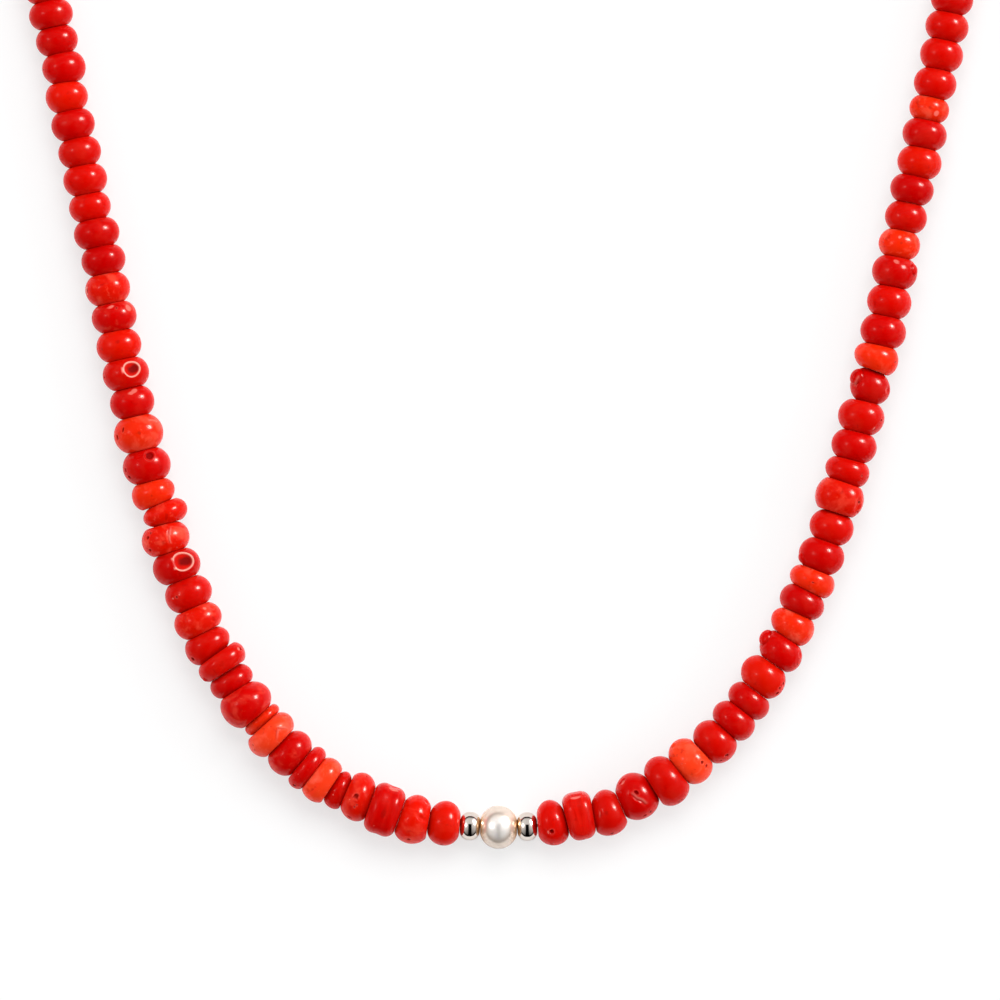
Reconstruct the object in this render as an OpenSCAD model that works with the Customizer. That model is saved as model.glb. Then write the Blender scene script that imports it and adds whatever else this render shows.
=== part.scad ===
// Coral necklace: polished coral rondelles, a white pearl between two silver balls, and a barrel clasp.
// The loop lies flat. X runs across it, Y from the pearl to the clasp, and Z = 0 is the surface under it.
// Lengths are in millimetres.

/* [Coral beads] */
// Diameter of the hole through each bead
bore_d = 1.1; // [1.0:0.05:1.2]
// Air between the ends of two neighbours
bead_air = 0.2; // [0.18:0.01:0.3]
// Length of a plain bead at the back of the loop
plain_long = 3.9; // [3.6:0.1:4.3]
// Diameter of a plain bead at the back of the loop
plain_wide = 6.2; // [5.8:0.1:6.6]

/* [Pearl] */
// Diameter across the thread
pearl_d = 6.1; // [5.8:0.05:6.2]
// Length along the thread, between its two drilled flats
pearl_long = 5.1; // [4.7:0.05:5.1]
// Radius of its round side, seen from above
pearl_side = 2.64; // [2.6:0.02:2.8]

/* [Silver spacers] */
// Diameter of a spacer ball
spacer_d = 4.0; // [3.6:0.1:4.4]
// Length of a spacer ball along the thread
spacer_long = 2.65; // [2.45:0.05:2.7]
// Radius of the rounding at its two ends
spacer_edge = 1.2; // [1.0:0.05:1.2]

/* [Clasp] */
// Diameter of the barrel
clasp_d = 5.6; // [5.0:0.1:6.0]
// Length of the barrel without its collars
barrel_long = 9.6; // [9:0.1:11]
// Diameter of the collar at each end
collar_d = 3.2; // [2.8:0.1:3.6]
// Length of the clasp with its collars
clasp_long = 12.4; // [12:0.1:13]
// Diameter of the blind hole that takes each end of the thread
clasp_bore_d = 1.6; // [1.4:0.1:1.8]
// Depth of that hole
clasp_bore_deep = 3.2; // [3:0.1:4]

/* [Thread] */
// Diameter of the thread
thread_d = 0.44; // [0.4:0.02:0.48]
// Height of the thread above the surface
thread_high = 3.2; // [3.1:0.05:3.3]

/* [Hidden] */
$fn = 48;

// The route of the thread, once round the loop from the pearl, first up the right side
WAY = [
    [0, 0], [14, 1.7], [25.4, 8], [34.9, 18.1], [42, 30.8],
    [47.3, 44.8], [51.2, 59.4], [54.4, 73.8], [57.4, 88], [60.4, 102],
    [63.3, 115.8], [65.4, 130], [62.5, 145.5], [53.5, 159.5], [39, 170.5],
    [20.5, 177.5], [0, 180], [-20.5, 177.5], [-39, 170.5], [-53.5, 159.5],
    [-62.5, 145.5], [-65.4, 130], [-63.3, 115.8], [-60.4, 102], [-57.5, 88],
    [-54.6, 73.8], [-51.5, 59.8], [-47.9, 45.2], [-43.2, 31], [-35.7, 18],
    [-25.6, 7.9], [-14, 1.8]
];
// Distance from the pearl to the middle of the loop's box
middle_y = 89.9;
// Samples for each stretch of the route between two of its points
route_steps = 12;
// Distance to either side over which the direction of the route is taken
look = 0.6;

// Columns of the bead charts: pitch along the thread, diameter, shift towards the inside of the loop,
// tilt in degrees of the end away from the pearl, radius of the rounded ends where the side between them
// is straight, and depth of a waist round the middle. A row leaves out the last columns where they are 0.
LONG = 0;
WIDE = 1;
SHIFT = 2;
TILT = 3;
EDGE = 4;
WAIST = 5;

// The coral from the left spacer outwards, as far as the photograph shows it
LEFT_BEADS = [
    [4.4, 6.4, 0], [4.1, 7.2, -0.2, -3, 1.7, 0.15], [4.5, 7.4, -0.15, 5, 1.1, 0.25],
    [3.7, 7, 0, 6.9], [2.1, 5.7, -0.5], [3.1, 6.9, -0.6, 0, 0.9], [2.25, 7, -0.5], [4, 7.1, -0.5],
    [3.35, 7.7, -0.45], [1.5, 5.9, 0], [4.7, 7.7, -0.35, -3], [2.9, 6.6, -0.15],
    [2.85, 7.6, 0.2, 5.4], [3.5, 6.8, -0.35], [3.75, 7.1, 0], [4.2, 6.8, 0.25], [4.2, 6.9, 0.05],
    [4, 7, -0.25], [2.9, 6.6, 0.55, 6.6], [3.4, 6.4, -0.2], [4.5, 6.9, -0.15],
    [4.8, 7.1, -0.15], [4.1, 6.4, -0.05], [4.1, 6.8, -0.05], [4.1, 6.5, -0.15],
    [3.9, 6.6, 0.1], [4.2, 6.5, 0], [3.9, 6.4, 0.2], [3.9, 6.5, 0.05], [3.7, 6.1, -0.15],
    [4, 6.4, -0.05], [3.9, 6.2, 0], [4, 6.3, -0.15], [4, 6.2, -0.2, -3], [4.1, 6.3, 0.2],
    [3.8, 6, 0.05], [3.7, 6.3, 0]
];

// The coral from the right spacer outwards, as far as the photograph shows it
RIGHT_BEADS = [
    [4.1, 6.6, 0.25, 5], [3.9, 7, 0.55, -5, 1.1, 0.1], [4.1, 6.7, -0.05], [5.1, 6.9, 0.45],
    [4.4, 7.6, 0.15], [4.3, 7.1, 0.2], [4.4, 6.7, -0.2], [3.6, 6.8, -0.2], [3.3, 6.5, -0.2, -3],
    [4.5, 6.8, 0, -3.6], [4.1, 6.6, -0.35, -7.5], [3.7, 6.7, -0.1], [3.5, 6.7, 0, -4],
    [3.1, 6.7, -0.1], [4.3, 6.7, 0], [4.2, 6.4, -0.05], [4.4, 7, 0.15, -3, 1.3], [3.3, 6.5, 0.15],
    [4, 6.6, 0.15], [4.4, 6.7, 0.15], [4.5, 5.9, -0.15, -8], [3.6, 6.5, -0.05], [4.2, 6.7, -0.15],
    [4.2, 6.5, -0.15], [4.2, 6.5, 0], [3.8, 6, 0.1], [4, 6.1, 0], [3.8, 6.3, 0], [4.1, 6.3, -0.25],
    [3.9, 6.4, -0.1], [3.3, 5.8, 0], [4, 6.1, -0.1], [4.2, 6.3, -0.1], [3.9, 6.2, -0.05],
    [3.8, 6.2, 0.05]
];

// Columns of the mark charts: number of the bead counted from the pearl, distance from its middle
// away from the pearl, distance from the thread towards the inside of the loop, radius
BEAD = 0;
ALONG = 1;
ACROSS = 2;
SIZE = 3;

// Worm holes worn to cups in the top of a bead
LEFT_PITS = [[17, 0.45, 1.3, 1.4], [21, 1.3, 0.8, 0.8], [24, 0.5, 0.95, 1.1]];
RIGHT_PITS = [[1, -0.25, -0.8, 0.5], [4, -0.1, 0.2, 0.6], [17, 0.1, -2.5, 0.7]];
// Nubs of the branch left on the side of a bead
LEFT_NUBS = [];
RIGHT_NUBS = [[11, 0.6, 2.4, 1.2], [15, -1.2, 2.6, 0.7], [21, 0.6, 2.3, 1.3], [25, 0.9, -2.8, 0.9]];
// Radius and lift of the ball that hollows a pit of radius 1
PIT_BALL = 1.25;
PIT_LIFT = 0.75;

// The pearl sits a little to the left of the route's start, and the first coral follows each spacer
pearl_s = -0.2;
left_start = -5.62;
right_start = 5.27;
spacer_left_s = -4.25;
spacer_right_s = 3.85;
// How far a spacer hangs below the thread
spacer_sag = 0.2;

// Radius of the arc along the side of a round bead, as a share of half its length
bow = 1.35;
// How far the arc of a rounded end rises past the flat that cuts it
crest = 0.02;
// Chord of a waist, as a share of the straight part of the bead's side
waist_share = 1.1;
// Groove round the middle of the clasp, where its halves screw together
groove_wide = 0.5;
groove_deep = 0.35;
barrel_edge = 1.6;
// Room between a collar of the clasp and the coral beside it
clasp_air = 0.25;
// How far a hole in the clasp is drilled from outside its face
drill_start = 1;
// The thread stops short of the bottom of that hole
thread_short = 0.6;
thread_rings = 84;
thread_sides = 6;
// The point of the route that the clasp lies on
CLASP_POINT = 16;

function before(i) = (i + len(WAY) - 1) % len(WAY);
function after(i) = (i + 1) % len(WAY);

// One pass towards the guide points whose smooth curve runs through every point of the route
function guided(c) = [
    for (i = [0:len(WAY) - 1])
        c[i] + WAY[i] - (c[before(i)] + 4 * c[i] + c[after(i)]) / 6
];
GUIDE = guided(guided(guided(guided(WAY))));

// A point of the closed cubic curve, a share t of the way from point i to the next
function curve(i, t) = (
    pow(1 - t, 3) * GUIDE[before(i)]
    + (3 * pow(t, 3) - 6 * pow(t, 2) + 4) * GUIDE[i]
    + (-3 * pow(t, 3) + 3 * pow(t, 2) + 3 * t + 1) * GUIDE[after(i)]
    + pow(t, 3) * GUIDE[after(after(i))]
) / 6;
ROAD = [
    for (i = [0:len(WAY) - 1], k = [0:route_steps - 1]) curve(i, k / route_steps),
    curve(0, 0)
];
MILES = [
    for (i = 0, s = 0; i < len(ROAD); s = s + norm(ROAD[min(i + 1, len(ROAD) - 1)] - ROAD[i]), i = i + 1) s
];
loop_long = MILES[len(MILES) - 1];
ROAD_X = [for (i = [0:len(ROAD) - 1]) [MILES[i], ROAD[i][0]]];
ROAD_Y = [for (i = [0:len(ROAD) - 1]) [MILES[i], ROAD[i][1] - middle_y]];

// Place and direction of the thread at a distance s from the start of its route
function wrap(s) = s - loop_long * floor(s / loop_long);
function place(s) = [lookup(wrap(s), ROAD_X), lookup(wrap(s), ROAD_Y)];
function heading(s) = let (d = place(s + look) - place(s - look)) atan2(d[1], d[0]);

// A value of a chart, or 0 where the row or its column is left out
function cell(rows, i, column) =
    i < 0 || i >= len(rows) || len(rows[i]) <= column ? 0 : rows[i][column];

// Sum of the first n pitches of a chart
function run(rows, n) = n == 0 ? 0 : run(rows, n - 1) + rows[n - 1][LONG];

// A chart with plain beads added as far as the clasp
function filled(rows, start, finish) =
    let (
        rest = finish - start - run(rows, len(rows)),
        count = round(rest / plain_long)
    )
    concat(rows, [for (i = [1:count]) [rest / count, plain_wide, 0]]);

clasp_s = MILES[CLASP_POINT * route_steps];
half_clasp = clasp_long / 2 + clasp_air;
RIGHT_ROWS = filled(RIGHT_BEADS, right_start, clasp_s - half_clasp);
LEFT_ROWS = filled(LEFT_BEADS, -left_start, loop_long - clasp_s - half_clasp);

// Distance s of bead i from the start; hand is 1 up the right and -1 up the left
function station(rows, hand, i) =
    (hand > 0 ? right_start : left_start) + hand * (run(rows, i) + rows[i][LONG] / 2);

// A bead leans halfway between its two tilted ends
function lean(rows, i) = (cell(rows, i, TILT) + cell(rows, i - 1, TILT)) / 2;
function turned(rows, hand, i) = heading(station(rows, hand, i)) + lean(rows, i);
function bend(rows, hand, i, j) =
    j < 0 || j >= len(rows) ? 0 : abs(sin(turned(rows, hand, i) - turned(rows, hand, j)));

// Depth of the rounding at a bead's end, from its full diameter to its flat
function rounding(rows, i) =
    cell(rows, i, EDGE) > 0
        ? cell(rows, i, EDGE)
        : (bow - sqrt(pow(bow, 2) - 1)) * (rows[i][LONG] - bead_air) / 2;
// How far the flat of a bead's end reaches to the side of the thread
function reach(rows, i) = rows[i][WIDE] / 2 - rounding(rows, i) + abs(rows[i][SHIFT]);
// Length of the stone itself: its pitch less the air, and less what the bends at its two ends take up
function stone_long(rows, hand, i) =
    rows[i][LONG] - bead_air
    - reach(rows, i) * (bend(rows, hand, i, i - 1) + bend(rows, hand, i, i + 1)) / 2;

// Half of the outline of a bead, with its axis up: arcs that the flat ends cut, and a straight side
// between them where the bead has one
module outline(long, wide, side, arc, waist) {
    core = wide / 2 - arc;
    chord = waist_share * side;
    hollow = waist > 0 ? (pow(chord / 2, 2) + pow(waist, 2)) / (2 * waist) : 0;
    difference() {
        intersection() {
            union() {
                translate([0, -wide]) square([core, 2 * wide]);
                if (side > 0) {
                    for (end = [-1, 1]) translate([core, end * side / 2]) rotate(180) circle(arc);
                    translate([0, -side / 2]) square([wide / 2 - crest / 2, side]);
                } else {
                    translate([core, 0]) rotate(180) circle(arc);
                }
            }
            translate([0, -long / 2]) square([wide, long]);
        }
        if (waist > 0) translate([wide / 2 + hollow - waist, 0]) circle(hollow);
    }
}

// A rondelle lying on its side, its axis along X and its middle at the origin
module rondelle(long, wide, side, arc, waist = 0) {
    rotate([0, 90, 0]) rotate_extrude() outline(long, wide, side, arc, waist);
}

// Puts its child above the surface of a rondelle, at x along the axis and y to the side
module above(wide, side, arc, x, y, lift) {
    past = max(abs(x) - side / 2, 0);
    rise = asin(past / arc);
    rim = wide / 2 - arc + arc * cos(rise);
    rotate([-asin(y / rim), 0, 0])
        translate([sign(x) * (abs(x) - past), 0, wide / 2 - arc])
            rotate([0, sign(x) * rise, 0])
                translate([0, 0, arc + lift]) children();
}

// One drilled coral bead with its pits and nubs
module coral(rows, hand, i, pits, nubs) {
    row = rows[i];
    s = station(rows, hand, i);
    long = stone_long(rows, hand, i);
    edge = cell(rows, i, EDGE);
    side = edge > 0 ? long - 2 * edge : 0;
    arc = edge > 0 ? edge + crest : bow * long / 2;
    translate(place(s)) rotate([0, 0, heading(s)]) difference() {
        translate([0, row[SHIFT], row[WIDE] / 2]) rotate([0, 0, lean(rows, i)]) difference() {
            union() {
                rondelle(long, row[WIDE], side, arc, cell(rows, i, WAIST));
                for (nub = nubs) if (nub[BEAD] == i + 1)
                    translate([hand * nub[ALONG], nub[ACROSS] - row[SHIFT], 0]) sphere(nub[SIZE]);
            }
            for (pit = pits) if (pit[BEAD] == i + 1)
                above(row[WIDE], side, arc, hand * pit[ALONG], pit[ACROSS] - row[SHIFT], pit[SIZE] * PIT_LIFT)
                    sphere(pit[SIZE] * PIT_BALL);
        }
        translate([0, 0, thread_high]) rotate([0, 90, 0]) cylinder(h = 2 * row[WIDE], d = bore_d, center = true);
    }
}

module coral_left() {
    color([0.82, 0.05, 0.03])
        for (i = [0:len(LEFT_ROWS) - 1]) coral(LEFT_ROWS, -1, i, LEFT_PITS, LEFT_NUBS);
}

module coral_right() {
    color([0.82, 0.05, 0.03])
        for (i = [0:len(RIGHT_ROWS) - 1]) coral(RIGHT_ROWS, 1, i, RIGHT_PITS, RIGHT_NUBS);
}

// A near-round pearl, drilled through
module pearl() {
    color([0.94, 0.90, 0.86])
        translate(place(pearl_s)) rotate([0, 0, heading(pearl_s)]) difference() {
            translate([0, 0, pearl_d / 2]) rondelle(pearl_long, pearl_d, 0, pearl_side);
            translate([0, 0, thread_high]) rotate([0, 90, 0]) cylinder(h = 2 * pearl_d, d = bore_d, center = true);
        }
}

// A drilled silver ball, a little flattened along the thread
module spacer(s) {
    color([0.78, 0.77, 0.75])
        translate(place(s)) rotate([0, 0, heading(s)]) translate([0, 0, thread_high - spacer_sag])
            difference() {
                rondelle(spacer_long, spacer_d, spacer_long - 2 * spacer_edge, spacer_edge + crest);
                rotate([0, 90, 0]) cylinder(h = 2 * spacer_d, d = bore_d, center = true);
            }
}

module spacer_left() {
    spacer(spacer_left_s);
}

module spacer_right() {
    spacer(spacer_right_s);
}

// The barrel clasp at the back, closed, in one piece
module clasp() {
    color([0.78, 0.77, 0.75])
        translate(place(clasp_s)) rotate([0, 0, heading(clasp_s)]) translate([0, 0, thread_high])
            difference() {
                union() {
                    rondelle(barrel_long, clasp_d, barrel_long - 2 * barrel_edge, barrel_edge + crest);
                    rotate([0, 90, 0]) cylinder(h = clasp_long, d = collar_d, center = true);
                }
                rotate([0, 90, 0]) difference() {
                    cylinder(h = groove_wide, d = 2 * clasp_d, center = true);
                    cylinder(h = groove_wide, d = clasp_d - 2 * groove_deep, center = true);
                }
                for (end = [-1, 1])
                    translate([end * (clasp_long - clasp_bore_deep + drill_start) / 2, 0, 0])
                        rotate([0, 90, 0])
                            cylinder(h = clasp_bore_deep + drill_start, d = clasp_bore_d, center = true);
            }
}

// The thread, from one end of the clasp round the loop to the other
module thread() {
    seat = clasp_bore_deep - thread_short;
    first = clasp_s + clasp_long / 2 - seat - loop_long;
    last = clasp_s - clasp_long / 2 + seat;
    points = [
        for (k = [0:thread_rings - 1])
            let (
                s = first + (last - first) * k / (thread_rings - 1),
                p = place(s),
                a = heading(s)
            )
            for (j = [0:thread_sides - 1])
                let (
                    out = cos(360 * j / thread_sides) * thread_d / 2,
                    up = sin(360 * j / thread_sides) * thread_d / 2
                )
                [p[0] + out * sin(a), p[1] - out * cos(a), thread_high + up]
    ];
    sides = [
        for (k = [0:thread_rings - 2], j = [0:thread_sides - 1])
            let (n = (j + 1) % thread_sides, base = k * thread_sides, over = base + thread_sides)
            [base + j, over + j, over + n, base + n]
    ];
    caps = [
        [for (j = [0:thread_sides - 1]) j],
        [for (j = [thread_sides - 1:-1:0]) (thread_rings - 1) * thread_sides + j]
    ];
    color([0.86, 0.82, 0.76]) polyhedron(points, concat(caps, sides));
}

coral_left();
coral_right();
pearl();
spacer_left();
spacer_right();
clasp();
thread();
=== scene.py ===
"""The looks of a coral necklace: coral rondelles, a pearl between two silver balls, and a barrel clasp.

Sizes are in millimetres until they go into a mesh, which is in metres. A place on the loop is its distance
along the thread from the pearl, counted up the right side.
"""

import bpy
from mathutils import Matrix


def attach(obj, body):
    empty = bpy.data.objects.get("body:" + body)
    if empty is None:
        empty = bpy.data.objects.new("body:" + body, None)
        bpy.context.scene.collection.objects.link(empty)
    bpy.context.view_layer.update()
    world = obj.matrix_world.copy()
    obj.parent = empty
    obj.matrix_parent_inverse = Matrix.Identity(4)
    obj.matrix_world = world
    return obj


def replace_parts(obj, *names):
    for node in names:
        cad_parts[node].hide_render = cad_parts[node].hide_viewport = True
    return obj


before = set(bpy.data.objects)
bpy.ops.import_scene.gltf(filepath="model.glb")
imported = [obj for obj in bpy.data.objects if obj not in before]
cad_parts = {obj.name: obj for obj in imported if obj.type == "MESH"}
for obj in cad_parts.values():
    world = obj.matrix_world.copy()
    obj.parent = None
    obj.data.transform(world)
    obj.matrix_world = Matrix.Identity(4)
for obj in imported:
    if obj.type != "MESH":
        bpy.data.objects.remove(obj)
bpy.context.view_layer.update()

import logging
import math
from dataclasses import dataclass, field
from enum import Enum

import bpy
import numpy as np
from mathutils import Vector

log = logging.getLogger("coral_necklace")

Outline = list[tuple[float, float]]
Point = tuple[float, float, float]
Colour = tuple[float, float, float, float]
Cell = tuple[float, float, float, float]
Socket = bpy.types.NodeSocket

MM = 0.001
BODY = "root"
QUARTER_TURN = math.pi / 2
FULL_TURN = 2 * math.pi

# The route of the thread, once round the loop from the pearl, first up the right side
WAY = (
    (0, 0), (14, 1.7), (25.4, 8), (34.9, 18.1), (42, 30.8),
    (47.3, 44.8), (51.2, 59.4), (54.4, 73.8), (57.4, 88), (60.4, 102),
    (63.3, 115.8), (65.4, 130), (62.5, 145.5), (53.5, 159.5), (39, 170.5),
    (20.5, 177.5), (0, 180), (-20.5, 177.5), (-39, 170.5), (-53.5, 159.5),
    (-62.5, 145.5), (-65.4, 130), (-63.3, 115.8), (-60.4, 102), (-57.5, 88),
    (-54.6, 73.8), (-51.5, 59.8), (-47.9, 45.2), (-43.2, 31), (-35.7, 18),
    (-25.6, 7.9), (-14, 1.8),
)
MIDDLE_Y = 89.9
ROUTE_STEPS = 12
CLASP_POINT = 16
THREAD_HIGH = 3.2
BORE = 0.55

# Where the pieces at the front lie on the thread
PEARL_AT = -0.2
SPACERS_AT = {"spacer_left": -4.2, "spacer_right": 3.81}
LEFT_CORAL_FROM = -5.62
RIGHT_CORAL_FROM = 5.27

# Directions of the two lamps that the polished surfaces mirror
EAST = (0.679, 0.522, 0.514)
WEST = (-0.67, 0.167, 0.73)

# Points of half a bead's outline on its side, round its edge and on its face
SIDE_STEPS = 60
EDGE_STEPS = 40
FACE_STEPS = 30
# Samples of a line on which uneven steps are worked out
SPACING_SAMPLES = 2000
# How many times higher than the outline a map is, which leaves room for the ring that closes a shape
MAP_CLOSING = 1.04


class Shade(Enum):
    """The body colour of a bead, as linear red, green and blue."""

    MAROON = (0.48, 0.0, 0.0)
    CRIMSON = (0.53, 0.0005, 0.0)
    RED = (0.585, 0.002, 0.0)
    VERMILION = (0.655, 0.005, 0.0)
    SCARLET = (0.77, 0.018, 0.0015)
    ORANGE = (0.86, 0.043, 0.009)


class Kind(Enum):
    """What a mark on a bead is."""

    # A worm hole's dark inside is painted shade, with a painted highlight on its lip.
    PIT = "a worm hole, dark inside"
    CUP = "a hollow with a pale rim"
    # A nub has painted shade round its foot.
    NUB = "a stub of the branch"
    DENT = "a shallow hollow of the stone's own colour"
    # A crease's groove is painted shade, and its pale lip a painted highlight.
    CREASE = "a short groove with a pale lip"
    CLOUD = "a pale patch in the surface"
    SPOT = "a darker patch in the surface"


MAROON, CRIMSON, RED, VERMILION, SCARLET, ORANGE = Shade
PIT, CUP, NUB, DENT, CREASE, CLOUD, SPOT = Kind


@dataclass(frozen=True)
class Mark:
    """One feature on a bead.

    Args:
        kind: What it is.
        along: Distance from the bead's middle, away from the pearl.
        across: Distance from the thread, towards the inside of the loop.
        size: Radius, or half the length of an oval or a crease.
        deep: Depth of a hollow, or height of a nub.
        thin: Half the width of an oval or a crease, or 0 for a round mark.
        turn: Direction of its length, in degrees from away from the pearl towards the inside.
    """

    kind: Kind
    along: float
    across: float
    size: float
    deep: float = 0.25
    thin: float = 0.0
    turn: float = 0.0


@dataclass(frozen=True)
class Bead:
    """One coral bead.

    Args:
        pitch: Length that it takes up on the thread.
        wide: Diameter.
        shift: How far its middle lies from the thread, towards the inside of the loop.
        tilt: Lean in degrees of its end away from the pearl.
        edge: Radius of its rounded ends where the side between them is straight, or 0.
        waist: Depth of a hollow round its middle.
        shade: Its body colour.
        cloudy: How strongly paler patches show, from 0 to 1.
        streaky: How strongly streaks round the bead show, from 0 to 1.
        marks: What is on it.
        corner: Radius where a round side meets the ends.
        bow: Radius of a round side, as a share of half the pitch.
        crest: How many times further the side falls than a circle's.
        square: How far its section across the thread goes from round to square, from 0 to 1.
    """

    pitch: float
    wide: float
    shift: float = 0.0
    tilt: float = 0.0
    edge: float = 0.0
    waist: float = 0.0
    shade: Shade = Shade.RED
    cloudy: float = 0.06
    streaky: float = 0.0
    marks: tuple[Mark, ...] = ()
    corner: float = 0.5
    bow: float = 1.12
    crest: float = 1.0
    square: float = 0.0


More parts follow.
